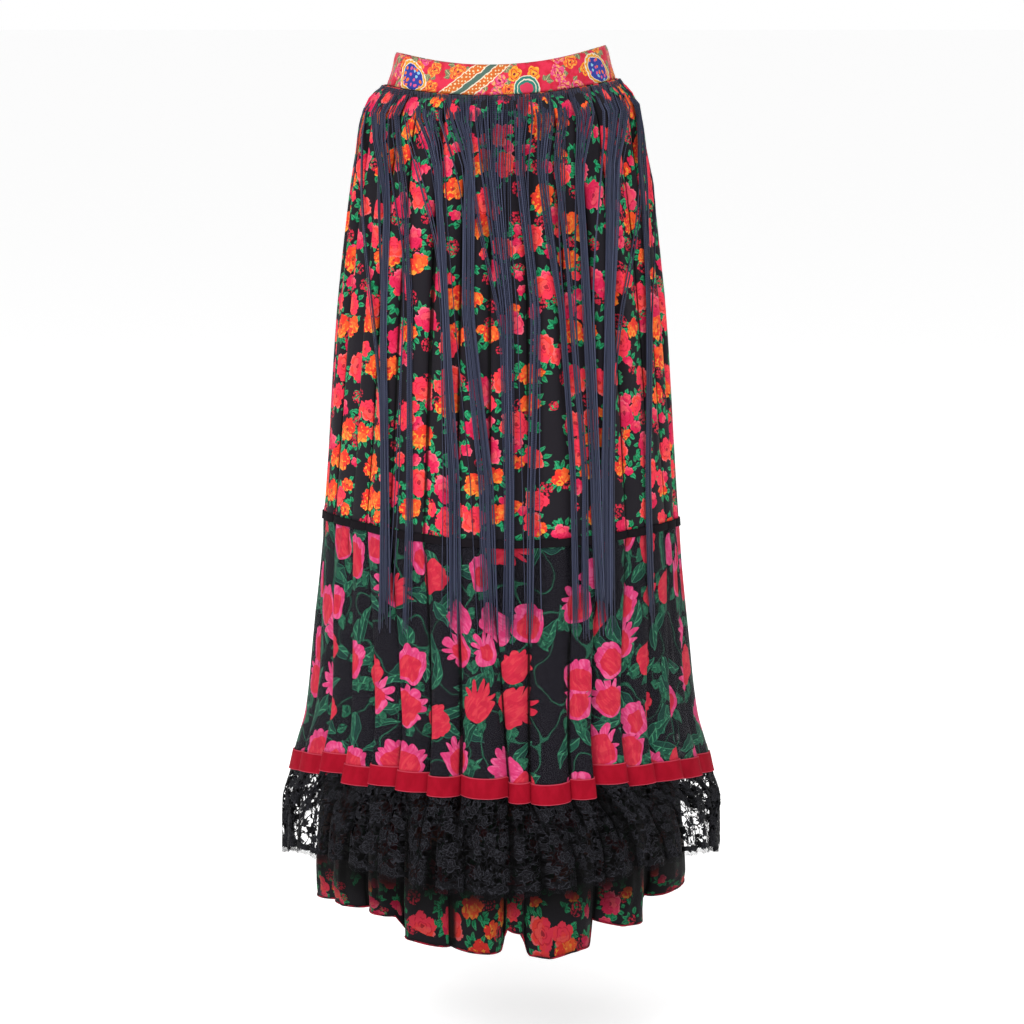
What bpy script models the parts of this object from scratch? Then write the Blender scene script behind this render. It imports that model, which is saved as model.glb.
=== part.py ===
"""Tiered maxi skirt in metres: waistband, two gathered tiers, velvet trims, lace flounce,
underskirt and a fringe that hangs from the waist seam.

The skirt hangs open round an empty middle. +Z is up, the front faces -Y, and the origin is
the centre of the waistband at half its height. Each cloth piece is one closed wall. Its rings
are ellipses read from a section table, and its folds set the cloth in from those ellipses.
Every tier has a front and a back half that meet at the side seams.
"""

import math
from collections import namedtuple

import bpy
import numpy as np

Section = namedtuple("Section", "z half_width half_depth front_rise back_rise tilt lift")
Fold = namedtuple("Fold", "width depth set_back peak lift")
Row = namedtuple("Row", "z upper_folds lower_folds turn")
Line = namedtuple("Line", "angle inset lift")

# Cloth and seams
WALL = 0.0012
BAND_WALL = 0.002
SEAM_GAP = 0.0003
MITRE_LIMIT = 1.5

# Heights of the seams and the trims, down from the origin
BAND_TOP = 0.022
BAND_BOTTOM = -0.0134
JOIN = -0.503
TAPE_HEIGHT = 0.009
LACE_JOIN = -0.788
RIBBON_HEIGHT = 0.023
LACE_HEM = -0.897
HEM = -0.963

# How the rings are cut into columns
BAND_COLUMNS = 24
FOLD_STEPS = (0.0, 0.15, 0.5, 0.85)
FOLDS_PER_HALF = 16
PLEAT_ROUNDNESS = 2.6

# Rings of the outer skirt. A rise lifts the middle of the front or back above the sides, a tilt
# lifts the right side, and a lift raises the quarters between the middle and the sides.
OUTER = (
    Section(BAND_TOP, 0.1170, 0.0880, -0.0156, -0.0190, 0.0040, 0.0),
    Section(BAND_BOTTOM, 0.1280, 0.0980, -0.0122, -0.0165, 0.0035, 0.0),
    Section(-0.034, 0.1485, 0.1125, -0.0110, -0.0140, 0.0030, 0.0),
    Section(-0.100, 0.1645, 0.1285, -0.0060, -0.0080, 0.0010, 0.0),
    Section(-0.250, 0.1834, 0.1518, -0.0020, -0.0020, 0.0, 0.004),
    Section(JOIN, 0.2018, 0.1700, 0.0, 0.0, -0.0040, 0.016),
    Section(-0.640, 0.2152, 0.1810, 0.0040, 0.0020, -0.0020, 0.018),
    Section(-0.735, 0.2265, 0.1880, 0.0090, 0.0050, 0.0, 0.024),
    Section(-0.776, 0.2385, 0.1925, 0.0120, 0.0070, 0.0, 0.030),
    Section(-0.800, 0.2440, 0.1975, 0.0130, 0.0070, 0.0, 0.033),
    Section(-0.829, 0.2540, 0.2050, 0.0120, 0.0060, 0.0, 0.042),
    Section(-0.862, 0.2550, 0.2060, 0.0110, 0.0050, 0.0, 0.055),
    Section(LACE_HEM, 0.2552, 0.2060, 0.0090, 0.0040, 0.0, 0.066),
)

# Rings of the underskirt, which hangs inside the lower tier
INNER = (
    Section(JOIN, 0.1960, 0.1642, 0.0, 0.0, -0.0040, 0.016),
    Section(-0.800, 0.2070, 0.1735, 0.0, 0.0, 0.0, 0.0),
    Section(-0.905, 0.2165, 0.1880, 0.0, 0.0, 0.0, 0.0),
    Section(HEM, 0.2150, 0.1980, 0.0, 0.0, 0.0, 0.0),
)

# Front pleats of the lower tier, left side seam to right. Width in degrees, depth of the crease
# at the pleat's left and set-back of its face in metres, where the face stands furthest out,
# from 0 at the left crease to 1 at the right, and how far the ribbon slips up on it in metres.
FRONT_PLEATS = (
    Fold(17.0, 0.010, 0.0, 0.22, 0.003),
    Fold(15.5, 0.012, 0.0015, 0.22, 0.005),
    Fold(9.5, 0.012, 0.0, 0.22, 0.012),
    Fold(10.0, 0.011, 0.0010, 0.22, 0.003),
    Fold(8.5, 0.012, 0.0, 0.25, 0.009),
    Fold(9.0, 0.011, 0.0015, 0.25, 0.007),
    Fold(9.5, 0.013, 0.0, 0.30, 0.006),
    Fold(13.0, 0.016, 0.0, 0.50, 0.007),
    Fold(6.0, 0.016, 0.0060, 0.50, 0.0),
    Fold(11.0, 0.014, 0.0005, 0.50, -0.002),
    Fold(7.5, 0.011, 0.0, 0.70, 0.0),
    Fold(9.5, 0.018, 0.0, 0.75, 0.012),
    Fold(10.0, 0.010, 0.0005, 0.75, 0.005),
    Fold(12.0, 0.012, 0.0, 0.78, 0.003),
    Fold(15.0, 0.013, 0.0035, 0.78, -0.001),
    Fold(17.0, 0.013, 0.0, 0.78, 0.0),
)

# Front folds of the underskirt, in the same terms
FRONT_UNDER_FOLDS = (
    Fold(24.0, 0.012, 0.0, 0.45, 0.0),
    Fold(20.0, 0.014, 0.0, 0.40, 0.0),
    Fold(13.0, 0.016, 0.0, 0.40, 0.0),
    Fold(19.0, 0.020, 0.0, 0.35, 0.0),
    Fold(15.0, 0.014, 0.0, 0.60, 0.0),
    Fold(7.0, 0.020, 0.0080, 0.50, 0.0),
    Fold(22.0, 0.020, 0.0, 0.60, 0.0),
    Fold(21.5, 0.022, 0.0, 0.65, 0.0),
    Fold(38.5, 0.020, 0.0, 0.50, 0.0),
)

# Mean depths of the folds that are alike and only vary, and the crease at the side seams,
# which the front and the back share
TIER_DEPTH = 0.0085
BACK_PLEAT_DEPTH = 0.0120
BACK_PLEAT_SLIP = 0.004
LACE_DEPTH = 0.0095
UNDERSKIRT_DEPTH = 0.0160
UNDERSKIRT_FOLDS = 9
LACE_WAVES_OF_THREE = 16
LACE_WAVES_OF_FOUR = 4
LONG_WAVE_PLACE = 2
SEAM_CREASE = {"upper": 0.0060, "lower": 0.0090, "lace": 0.0080, "under": 0.0120}

# Height of the underskirt's hem above its lowest point, by angle from the middle
FRONT_HEM = {
    "angle": (
        -90, -75, -62, -46, -35, -32, -27, -14, 0, 2, 6.5, 8.5, 15, 21, 29, 31.5, 39, 50, 53.5, 66, 90
    ),
    "rise": (18, 26, 35, 39, 38, 17, 17, 10, 8, 32, 28, 2, 0, 6, 6, 33, 26, 22, 45, 44, 40),
}
BACK_HEM = {
    "angle": (-90, -60, -25, 0, 30, 60, 90),
    "rise": (18, 20, 9, 12, 8, 18, 40),
}
MILLIMETRE = 0.001

# How strongly the upper tier's folds still show where the tape holds them
TAPED_FOLDS = 0.40

# Rows of each wall: height, how strongly the folds of the piece above and of its own show,
# and how far its columns have turned from the upper folds' places to its own.
UPPER_TIER_ROWS = (
    Row(BAND_BOTTOM - SEAM_GAP, 0.0, 0.25, 1.0),
    Row(-0.034, 0.0, 0.55, 1.0),
    Row(-0.100, 0.0, 0.90, 1.0),
    Row(-0.250, 0.0, 1.00, 1.0),
    Row(JOIN + TAPE_HEIGHT / 2, 0.0, TAPED_FOLDS, 1.0),
    Row(JOIN + SEAM_GAP / 2, 0.0, TAPED_FOLDS, 1.0),
)
LOWER_TIER_ROWS = (
    Row(JOIN - SEAM_GAP / 2, TAPED_FOLDS, 0.0, 0.0),
    Row(JOIN - TAPE_HEIGHT / 2, TAPED_FOLDS, 0.0, 0.0),
    Row(-0.640, 0.10, 0.60, 0.6),
    Row(LACE_JOIN + RIBBON_HEIGHT / 2, 0.0, 1.0, 1.0),
    Row(LACE_JOIN + SEAM_GAP / 2, 0.0, 1.0, 1.0),
)
LACE_ROWS = (
    Row(LACE_JOIN - SEAM_GAP / 2, 1.0, 0.0, 0.0),
    Row(LACE_JOIN - RIBBON_HEIGHT / 2, 1.0, 0.0, 0.0),
    Row(-0.829, 0.50, 0.65, 0.5),
    Row(-0.862, 0.15, 1.00, 0.85),
    Row(LACE_HEM, 0.0, 1.20, 1.0),
)
UNDERSKIRT_ROWS = (
    Row(JOIN - SEAM_GAP, 0.0, 0.0, 1.0),
    Row(-0.800, 0.0, 0.45, 1.0),
    Row(-0.905, 0.0, 0.90, 1.0),
    Row(HEM, 0.0, 1.00, 1.0),
)

# Gaps of the lace: one in every fourth cell below the ribbon, staggered from row to row
LACE_GAP_STEP = 4
LACE_GAP_SHIFT = 2
LACE_GAP_WIDTH = 0.0056
LACE_GAP_HEIGHT = 0.0095
WIDEST_GAP_SHARE = 0.34

# Fringe
LOCKS_PER_HALF = 30
LOCK_WIDTH = 0.0024
LOCK_THICKNESS = 0.0012
STRIP_HEIGHT = 0.0058
STRIP_STAND_OFF = 0.0009
FAN_AT_FRONT = 0.2
LOCK_ROWS = {
    "z": (-0.034, -0.100, -0.250, JOIN + TAPE_HEIGHT / 2),
    "stand_off": (0.0014, 0.0018, 0.0018, 0.0024),
}
LOCK_END_STAND_OFF = 0.0022
LOCK_END_HIGH = -0.555
LOCK_END_LOW = -0.615

FRONT, BACK = "front", "back"
FACING = {FRONT: -1.0, BACK: 1.0}
SHARP_ANGLE = 50

# Seeds of what only varies
TIER_SEED = {FRONT: 11, BACK: 47}
GAP_SEED = {FRONT: 5, BACK: 6}
FRINGE_SEED = {FRONT: 21, BACK: 22}

COLOURS = {
    "waistband": (0.62, 0.10, 0.09, 0.55, 0.0),
    "upper_tier": (0.09, 0.02, 0.03, 0.75, 0.0),
    "velvet_tape": (0.006, 0.005, 0.007, 0.9, 0.0),
    "lower_tier": (0.20, 0.02, 0.07, 0.7, 0.0),
    "velvet_ribbon": (0.47, 0.012, 0.035, 0.85, 0.0),
    "lace_ruffle": (0.012, 0.011, 0.014, 0.7, 0.0),
    "underskirt": (0.12, 0.02, 0.03, 0.75, 0.0),
    "fringe": (0.022, 0.029, 0.065, 0.5, 0.0),
}


def clear_scene():
    for obj in list(bpy.data.objects):
        bpy.data.objects.remove(obj)


def principled(name):
    """The piece's own Principled material, from its row of COLOURS."""
    red, green, blue, roughness, metallic = COLOURS[name]
    made = bpy.data.materials.new(name)
    made.use_nodes = True
    shader = made.node_tree.nodes["Principled BSDF"]
    shader.inputs["Base Color"].default_value = (red, green, blue, 1.0)
    shader.inputs["Roughness"].default_value = roughness
    shader.inputs["Metallic"].default_value = metallic
    return made


def section_at(table, z):
    """The section at height z, read in straight lines between the rows of the table."""
    heights = [-row.z for row in table]
    return Section(z, *(np.interp(-z, heights, column) for column in list(zip(*table))[1:]))


def varied_folds(count, depth, seed, slip=0.0):
    """Folds of about the same width and depth, each a little different."""
    draw = np.random.default_rng(seed)
    widths = draw.uniform(0.78, 1.22, count)
    depths = depth * draw.uniform(0.7, 1.25, count)
    backs = depth * draw.choice([0.0, 0.0, 0.12, 0.3], count)
    peaks = draw.uniform(0.3, 0.7, count)
    lifts = slip * draw.uniform(-1.0, 1.0, count)
    return [Fold(*fold) for fold in zip(widths, depths, backs, peaks, lifts)]


def fold_line(folds, steps_of, seam_crease):
    """Angles and insets of the columns of a half, from one side seam to the other.

    A fold's inset goes from its set-back, at its peak, to the depth of the crease on either
    side, by the power PLEAT_ROUNDNESS of the share of the way from peak to crease. A crease
    is lifted by the mean of the folds beside it.
    """
    edges = np.concatenate([[0.0], np.cumsum([fold.width for fold in folds])])
    edges = np.radians(180.0 * edges / edges[-1] - 90.0)
    creases = [seam_crease] + [fold.depth for fold in folds[1:]] + [seam_crease]
    angle, inset, lift = [], [], []
    for place, fold in enumerate(folds):
        before = folds[place - 1] if place else fold
        for step in steps_of(place):
            lift.append(fold.lift if step else (before.lift + fold.lift) / 2)
            left = step < fold.peak
            crease = creases[place] if left else creases[place + 1]
            share = abs(step - fold.peak) / (fold.peak if left else 1.0 - fold.peak)
            angle.append(edges[place] + step * (edges[place + 1] - edges[place]))
            inset.append(fold.set_back + (crease - fold.set_back) * share**PLEAT_ROUNDNESS)
    ends = (edges[-1], seam_crease, folds[-1].lift)
    return Line(*(np.array(column + [end]) for column, end in zip((angle, inset, lift), ends)))


def lace_steps(place):
    """Three or four columns for a wave, so the lace has as many columns as the pleats above."""
    every = (LACE_WAVES_OF_THREE + LACE_WAVES_OF_FOUR) // LACE_WAVES_OF_FOUR
    return (0.0, 0.25, 0.5, 0.75) if place % every == LONG_WAVE_PLACE else (0.0, 1 / 3, 2 / 3)


def pleat_steps(place):
    return FOLD_STEPS


def fold_lines(half):
    """The four fold lines of a half: upper tier, lower tier, lace and underskirt."""
    seed = TIER_SEED[half]
    pleats = varied_folds(FOLDS_PER_HALF, BACK_PLEAT_DEPTH, seed + 1, BACK_PLEAT_SLIP)
    under = varied_folds(UNDERSKIRT_FOLDS, UNDERSKIRT_DEPTH, seed + 3)
    if half == FRONT:
        pleats, under = FRONT_PLEATS, FRONT_UNDER_FOLDS
    folds = {
        "upper": varied_folds(FOLDS_PER_HALF, TIER_DEPTH, seed),
        "lower": pleats,
        "lace": varied_folds(LACE_WAVES_OF_THREE + LACE_WAVES_OF_FOUR, LACE_DEPTH, seed + 2),
        "under": under,
    }
    steps = {"lace": lace_steps}
    return {
        name: fold_line(found, steps.get(name, pleat_steps), SEAM_CREASE[name])
        for name, found in folds.items()
    }


def ellipse(section, angle, half):
    """Points of the ring in plan and its outward directions, at the given angles."""
    facing = FACING[half]
    place = np.stack(
        [section.half_width * np.sin(angle), facing * section.half_depth * np.cos(angle)], axis=-1
    )
    outward = np.stack(
        [section.half_depth * np.sin(angle), facing * section.half_width * np.cos(angle)], axis=-1
    )
    return place, outward / np.linalg.norm(outward, axis=-1, keepdims=True)


def lifted(section, angle, half):
    """Height of the ring at the given angles, with its rise, tilt and lift."""
    rise = section.front_rise if half == FRONT else section.back_rise
    quarters = section.lift * np.sin(angle) ** 2 * np.cos(angle)
    return section.z + rise * np.cos(angle) ** 2 + section.tilt * np.sin(angle) + quarters


def ring(section, line, half):
    """One row of a wall: the ring's points with each fold set in, and the mitred way out.

    The way out at a point is the mean of the normals of the two stretches beside it, made
    longer where they turn, so that the wall keeps its thickness. At a side seam it runs
    along X, so that both halves end in the seam's plane.
    """
    place, outward = ellipse(section, line.angle, half)
    place = place - outward * line.inset[:, None]
    run = np.diff(place, axis=0)
    normal = np.stack([run[:, 1], -run[:, 0]], axis=-1)
    normal /= np.linalg.norm(normal, axis=-1, keepdims=True)
    normal *= np.sign((normal * outward[:-1]).sum(axis=-1, keepdims=True))
    mean = np.concatenate([[outward[0]], normal[:-1] + normal[1:], [outward[-1]]])
    mean /= np.linalg.norm(mean, axis=-1, keepdims=True)
    beside = np.concatenate([normal, normal[-1:]])
    mitre = 1.0 / np.clip((mean * beside).sum(axis=-1), 1.0 / MITRE_LIMIT, 1.0)
    place[:, 1] += FACING[half] * SEAM_GAP / 2
    height = lifted(section, line.angle, half) + line.lift
    return np.column_stack([place, height]), np.column_stack([mean * mitre[:, None], 0 * height])


def piece_rows(rows, sections, upper, lower, half):
    """All rows of a wall: (points, ways out), each rows x columns x 3."""
    made = []
    for row in rows:
        angle = upper.angle + row.turn * (lower.angle - upper.angle)
        inset = row.upper_folds * upper.inset + row.lower_folds * lower.inset
        lift = row.upper_folds * upper.lift + row.lower_folds * lower.lift
        made.append(ring(section_at(sections, row.z), Line(angle, inset, lift), half))
    points, ways = zip(*made)
    return np.array(points), np.array(ways)


def grid_quads(number, skip=()):
    """Quads over a grid of vertex numbers, seen from outside on a front half."""
    quads = []
    for r in range(number.shape[0] - 1):
        for c in range(number.shape[1] - 1):
            if (r, c) not in skip:
                quads.append((number[r + 1, c], number[r + 1, c + 1], number[r, c + 1], number[r, c]))
    return quads


def turned(quad):
    """The same quad facing the other way, split along the same diagonal."""
    return (quad[0], quad[3], quad[2], quad[1])


def wall_faces(outer, inner, skip=()):
    """Faces of a closed wall between two grids of vertex numbers."""
    faces = grid_quads(outer, skip) + [turned(quad) for quad in grid_quads(inner, skip)]
    last = outer.shape[1] - 1
    for c in range(last):
        faces.append((outer[0, c], outer[0, c + 1], inner[0, c + 1], inner[0, c]))
        faces.append((outer[-1, c + 1], outer[-1, c], inner[-1, c], inner[-1, c + 1]))
    for r in range(outer.shape[0] - 1):
        faces.append((outer[r + 1, 0], outer[r, 0], inner[r, 0], inner[r + 1, 0]))
        faces.append((outer[r, last], outer[r + 1, last], inner[r + 1, last], inner[r, last]))
    return faces


def make_object(name, points, faces, kind, half):
    """One node from its vertices and faces. A back half is a front half seen in a mirror."""
    if half == BACK:
        faces = [turned(face) for face in faces]
    mesh = bpy.data.meshes.new(name)
    mesh.from_pydata([tuple(point) for point in points], [], [tuple(map(int, f)) for f in faces])
    mesh.validate()
    made = bpy.data.objects.new(name, mesh)
    bpy.context.scene.collection.objects.link(made)
    mesh.materials.append(principled(kind))
    mesh.shade_smooth()
    mesh.set_sharp_from_angle(angle=math.radians(SHARP_ANGLE))
    return made


def make_wall(kind, half, points, ways, inner_at, outer_at):
    """A closed wall from inner_at to outer_at, measured outwards from the rows."""
    count = points.shape[0] * points.shape[1]
    outer = np.arange(count).reshape(points.shape[:2])
    vertices = np.concatenate([(points + ways * at).reshape(-1, 3) for at in (outer_at, inner_at)])
    return make_object(f"{kind}_{half}", vertices, wall_faces(outer, outer + count), kind, half)


def make_waistband(half):
    angle = np.linspace(-math.pi / 2, math.pi / 2, BAND_COLUMNS + 1)
    plain = Line(angle, 0 * angle, 0 * angle)
    rows = (Row(BAND_TOP, 0.0, 0.0, 1.0), Row(BAND_BOTTOM, 0.0, 0.0, 1.0))
    points, ways = piece_rows(rows, OUTER, plain, plain, half)
    make_wall("waistband", half, points, ways, -BAND_WALL, 0.0)


def make_upper_tier(half, lines):
    points, ways = piece_rows(UPPER_TIER_ROWS, OUTER, lines["upper"], lines["upper"], half)
    make_wall("upper_tier", half, points, ways, -WALL, 0.0)


def make_lower_tier(half, lines):
    points, ways = piece_rows(LOWER_TIER_ROWS, OUTER, lines["upper"], lines["lower"], half)
    make_wall("lower_tier", half, points, ways, -WALL, 0.0)


def make_trim(kind, half, upper_row, lower_row, line):
    """A flat trim over a seam: the tiers' own points at its two edges, moved out."""
    points, ways = piece_rows((upper_row, lower_row), OUTER, line, line, half)
    make_wall(kind, half, points, ways, SEAM_GAP, SEAM_GAP + WALL)


def make_velvet_tape(half, lines):
    upper = Row(JOIN + TAPE_HEIGHT / 2, 0.0, TAPED_FOLDS, 1.0)
    lower = Row(JOIN - TAPE_HEIGHT / 2, 0.0, TAPED_FOLDS, 1.0)
    make_trim("velvet_tape", half, upper, lower, lines["upper"])


def make_velvet_ribbon(half, lines):
    upper = Row(LACE_JOIN + RIBBON_HEIGHT / 2, 0.0, 1.0, 1.0)
    lower = Row(LACE_JOIN - RIBBON_HEIGHT / 2, 0.0, 1.0, 1.0)
    make_trim("velvet_ribbon", half, upper, lower, lines["lower"])


def lace_gap_corners(cell, width, height):
    """Corners of a gap in the middle of a cell, whose own corners go round it in order."""
    across = np.linalg.norm(cell[1] - cell[0] + cell[2] - cell[3]) / 2
    down = np.linalg.norm(cell[3] - cell[0] + cell[2] - cell[1]) / 2
    u = min(WIDEST_GAP_SHARE, width / across / 2)
    v = min(WIDEST_GAP_SHARE, height / down / 2)
    corners = []
    for s, t in ((0.5 - u, 0.5 - v), (0.5 + u, 0.5 - v), (0.5 + u, 0.5 + v), (0.5 - u, 0.5 + v)):
        below, above = cell[0] + s * (cell[1] - cell[0]), cell[3] + s * (cell[2] - cell[3])
        corners.append(below + t * (above - below))
    return corners


def make_lace_ruffle(half, lines):
    """The lace flounce, with the largest gaps of its ground cut through the wall."""
    points, ways = piece_rows(LACE_ROWS, OUTER, lines["lower"], lines["lace"], half)
    count = points.shape[0] * points.shape[1]
    outer = np.arange(count).reshape(points.shape[:2])
    vertices = list(points.reshape(-1, 3)) + list((points - ways * WALL).reshape(-1, 3))
    draw = np.random.default_rng(GAP_SEED[half])
    cells = []
    for r in range(1, points.shape[0] - 1):
        first = 1 + LACE_GAP_SHIFT * (r % 2)
        cells += [(r, c) for c in range(first, points.shape[1] - 1, LACE_GAP_STEP)]
    faces = wall_faces(outer, outer + count, skip=cells)
    for r, c in cells:
        width, height = (LACE_GAP_WIDTH, LACE_GAP_HEIGHT) * draw.uniform(0.85, 1.2, 2)
        corners = (outer[r + 1, c], outer[r + 1, c + 1], outer[r, c + 1], outer[r, c])
        start = len(vertices)
        for side in (0, count):
            cell = [vertices[corner + side] for corner in corners]
            vertices += lace_gap_corners(cell, width, height)
        for k in range(4):
            n = (k + 1) % 4
            faces.append((corners[k], corners[n], start + n, start + k))
            faces.append((corners[k] + count, start + 4 + k, start + 4 + n, corners[n] + count))
            faces.append((start + k, start + n, start + 4 + n, start + 4 + k))
    make_object(f"lace_ruffle_{half}", vertices, faces, "lace_ruffle", half)


def make_underskirt(half, lines):
    points, ways = piece_rows(UNDERSKIRT_ROWS, INNER, lines["under"], lines["under"], half)
    hem = FRONT_HEM if half == FRONT else BACK_HEM
    rise = np.interp(np.degrees(lines["under"].angle), hem["angle"], hem["rise"])
    points[-1, :, 2] += rise * MILLIMETRE
    make_wall("underskirt", half, points, ways, -WALL, 0.0)


def lock_section(z, stand_off, waist_angle, half):
    """The four corners of a lock at one height: left and right outside, right and left inside.

    Across the front a strand hangs nearly straight down, and at the sides it follows the
    flare, so the share of the flare that it takes grows with the cube of the sine.
    """
    waist = section_at(OUTER, BAND_BOTTOM)
    here = section_at(OUTER, z)
    sine = math.sin(waist_angle)
    share = FAN_AT_FRONT + (1.0 - FAN_AT_FRONT) * abs(sine) ** 3
    spread = 1.0 + (here.half_width / waist.half_width - 1.0) * share
    angle = math.asin(sine * spread * waist.half_width / here.half_width)
    place, outward = ellipse(here, np.array([angle]), half)
    place, outward = place[0] + outward[0] * stand_off, outward[0]
    along = np.array([-outward[1], outward[0]]) * -FACING[half]
    height = lifted(here, np.array([angle]), half)[0]
    corners = []
    for side, depth in ((-0.5, 1.0), (0.5, 1.0), (0.5, 0.0), (-0.5, 0.0)):
        corner = place + along * side * LOCK_WIDTH + outward * depth * LOCK_THICKNESS
        corner[1] += FACING[half] * SEAM_GAP / 2
        corners.append((*corner, height))
    return corners


def make_fringe(half):
    """A narrow strip under the waistband, and the locks that grow from its lower edge."""
    centres = np.linspace(-math.pi / 2, math.pi / 2, 2 * LOCKS_PER_HALF + 1)[1::2]
    top = section_at(OUTER, BAND_BOTTOM - SEAM_GAP)
    low = section_at(OUTER, BAND_BOTTOM - STRIP_HEIGHT)
    reach = LOCK_WIDTH / 2 / np.hypot(
        low.half_width * np.cos(centres), low.half_depth * np.sin(centres)
    )
    ends = [-math.pi / 2, math.pi / 2]
    angle = np.sort(np.concatenate([ends, centres - reach, centres + reach]))
    smooth = Line(angle, 0 * angle, 0 * angle)
    points, ways = zip(*(ring(section, smooth, half) for section in (top, low)))
    points, ways = np.array(points), np.array(ways)
    count = points.shape[0] * points.shape[1]
    outer = np.arange(count).reshape(points.shape[:2])
    inner = outer + count
    levels = (STRIP_STAND_OFF + WALL, STRIP_STAND_OFF)
    vertices = [tuple(v) for at in levels for v in (points + ways * at).reshape(-1, 3)]
    lock_roots = {2 * lock + 1 for lock in range(LOCKS_PER_HALF)}
    draw = np.random.default_rng(FRINGE_SEED[half])
    faces = []
    for face in wall_faces(outer, inner):
        root = face[1] - outer[-1, 0]
        if face[0] == face[1] + 1 and face[2] == face[1] + count and root in lock_roots:
            continue
        faces.append(face)
    for lock, centre in enumerate(centres):
        left = 2 * lock + 1
        before = [outer[-1, left], outer[-1, left + 1], inner[-1, left + 1], inner[-1, left]]
        end = draw.uniform(LOCK_END_LOW, LOCK_END_HIGH)
        heights = (*LOCK_ROWS["z"], end)
        for z, stand_off in zip(heights, (*LOCK_ROWS["stand_off"], LOCK_END_STAND_OFF)):
            start = len(vertices)
            vertices += lock_section(z, stand_off, centre, half)
            after = [start + k for k in range(4)]
            for k in range(4):
                n = (k + 1) % 4
                faces.append((before[k], after[k], after[n], before[n]))
            before = after
        faces.append((before[0], before[3], before[2], before[1]))
    make_object(f"fringe_{half}", vertices, faces, "fringe", half)


def main():
    clear_scene()
    for half in (FRONT, BACK):
        lines = fold_lines(half)
        make_waistband(half)
        make_upper_tier(half, lines)
        make_velvet_tape(half, lines)
        make_lower_tier(half, lines)
        make_velvet_ribbon(half, lines)
        make_lace_ruffle(half, lines)
        make_underskirt(half, lines)
        make_fringe(half)


main()
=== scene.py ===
"""Tiered maxi skirt: the cloth, lace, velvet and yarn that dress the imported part.

Every cloth is a tube of rings, worked out as whole arrays on a grid of heights and places
round the skirt. It carries a UV map in metres of flat cloth, so that its print and weave
follow the folds.
"""

import math
from collections import namedtuple

import bpy
import numpy as np
from bpy.props import FloatProperty, FloatVectorProperty, IntProperty, PointerProperty
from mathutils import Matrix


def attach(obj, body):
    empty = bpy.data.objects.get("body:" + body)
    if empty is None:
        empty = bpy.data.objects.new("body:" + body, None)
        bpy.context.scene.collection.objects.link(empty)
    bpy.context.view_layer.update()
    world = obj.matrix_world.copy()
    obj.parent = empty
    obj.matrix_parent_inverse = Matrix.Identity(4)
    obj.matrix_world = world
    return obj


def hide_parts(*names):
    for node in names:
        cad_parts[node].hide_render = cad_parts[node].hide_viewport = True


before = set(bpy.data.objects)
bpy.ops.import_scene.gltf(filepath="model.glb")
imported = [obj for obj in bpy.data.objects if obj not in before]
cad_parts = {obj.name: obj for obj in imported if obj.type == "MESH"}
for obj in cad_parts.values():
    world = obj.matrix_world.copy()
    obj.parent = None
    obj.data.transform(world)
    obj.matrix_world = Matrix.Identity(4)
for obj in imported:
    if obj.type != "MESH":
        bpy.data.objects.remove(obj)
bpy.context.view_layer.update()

bl_info = {
    "name": "Tiered Skirt Cloth",
    "version": (1, 0, 0),
    "blender": (4, 5, 0),
    "location": "3D View > Sidebar > Skirt",
    "description": "Makes the waistband, tiers, velvet trims, lace, underskirt and fringe of a skirt",
    "category": "Object",
}

BODY = "root"

# Heights of the seams and trims, in metres above the middle of the waistband
BAND_TOP, BAND_BOTTOM = 0.022, -0.0134
JOIN, TAPE_HEIGHT = -0.503, 0.009
LACE_JOIN, RIBBON_HEIGHT = -0.788, 0.023
LACE_HEM, HEM = -0.897, -0.963
SEAM_GAP = 0.0003

# The lace's length on the flat and its thickness, the place of the waistband's closing edge,
# and the columns of each half of the band
LACE_LENGTH, LACE_THICKNESS = 0.117, 0.0004
CLOSING = math.radians(-68)
BAND_COLUMNS = 241

# Scallops of the lace's edge, the height where the underskirt's hem starts to wave, corners of
# its rolled cord, and the gap between a velvet trim and the cloth under it
SCALLOP_WIDTH, SCALLOP_DEPTH, SCALLOP_RISE = 0.017, 0.003, 0.022
HEM_BEND = -0.905
CORD_CORNERS = 6
TRIM_GAP = 0.0006

# Rings of the outer skirt and of the underskirt: height, half width, half depth, rise of the
# middle of the front and of the back above the sides, how much the right side is higher, and
# how much the quarters between middle and side are lifted.
OUTER = np.array([
    (BAND_TOP, 0.1170, 0.0880, -0.0156, -0.0190, 0.0040, 0.0),
    (BAND_BOTTOM, 0.1280, 0.0980, -0.0122, -0.0165, 0.0035, 0.0),
    (-0.034, 0.1485, 0.1125, -0.0110, -0.0140, 0.0030, 0.0),
    (-0.100, 0.1645, 0.1285, -0.0060, -0.0080, 0.0010, 0.0),
    (-0.250, 0.1834, 0.1518, -0.0020, -0.0020, 0.0, 0.004),
    (JOIN, 0.2018, 0.1700, 0.0, 0.0, -0.0040, 0.016),
    (-0.640, 0.2152, 0.1810, 0.0040, 0.0020, -0.0020, 0.018),
    (-0.735, 0.2265, 0.1880, 0.0090, 0.0050, 0.0, 0.024),
    (-0.776, 0.2385, 0.1925, 0.0120, 0.0070, 0.0, 0.030),
    (-0.800, 0.2440, 0.1975, 0.0130, 0.0070, 0.0, 0.033),
    (-0.829, 0.2540, 0.2050, 0.0120, 0.0060, 0.0, 0.042),
    (-0.862, 0.2550, 0.2060, 0.0110, 0.0050, 0.0, 0.055),
    (LACE_HEM, 0.2552, 0.2060, 0.0090, 0.0040, 0.0, 0.066),
])
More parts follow.
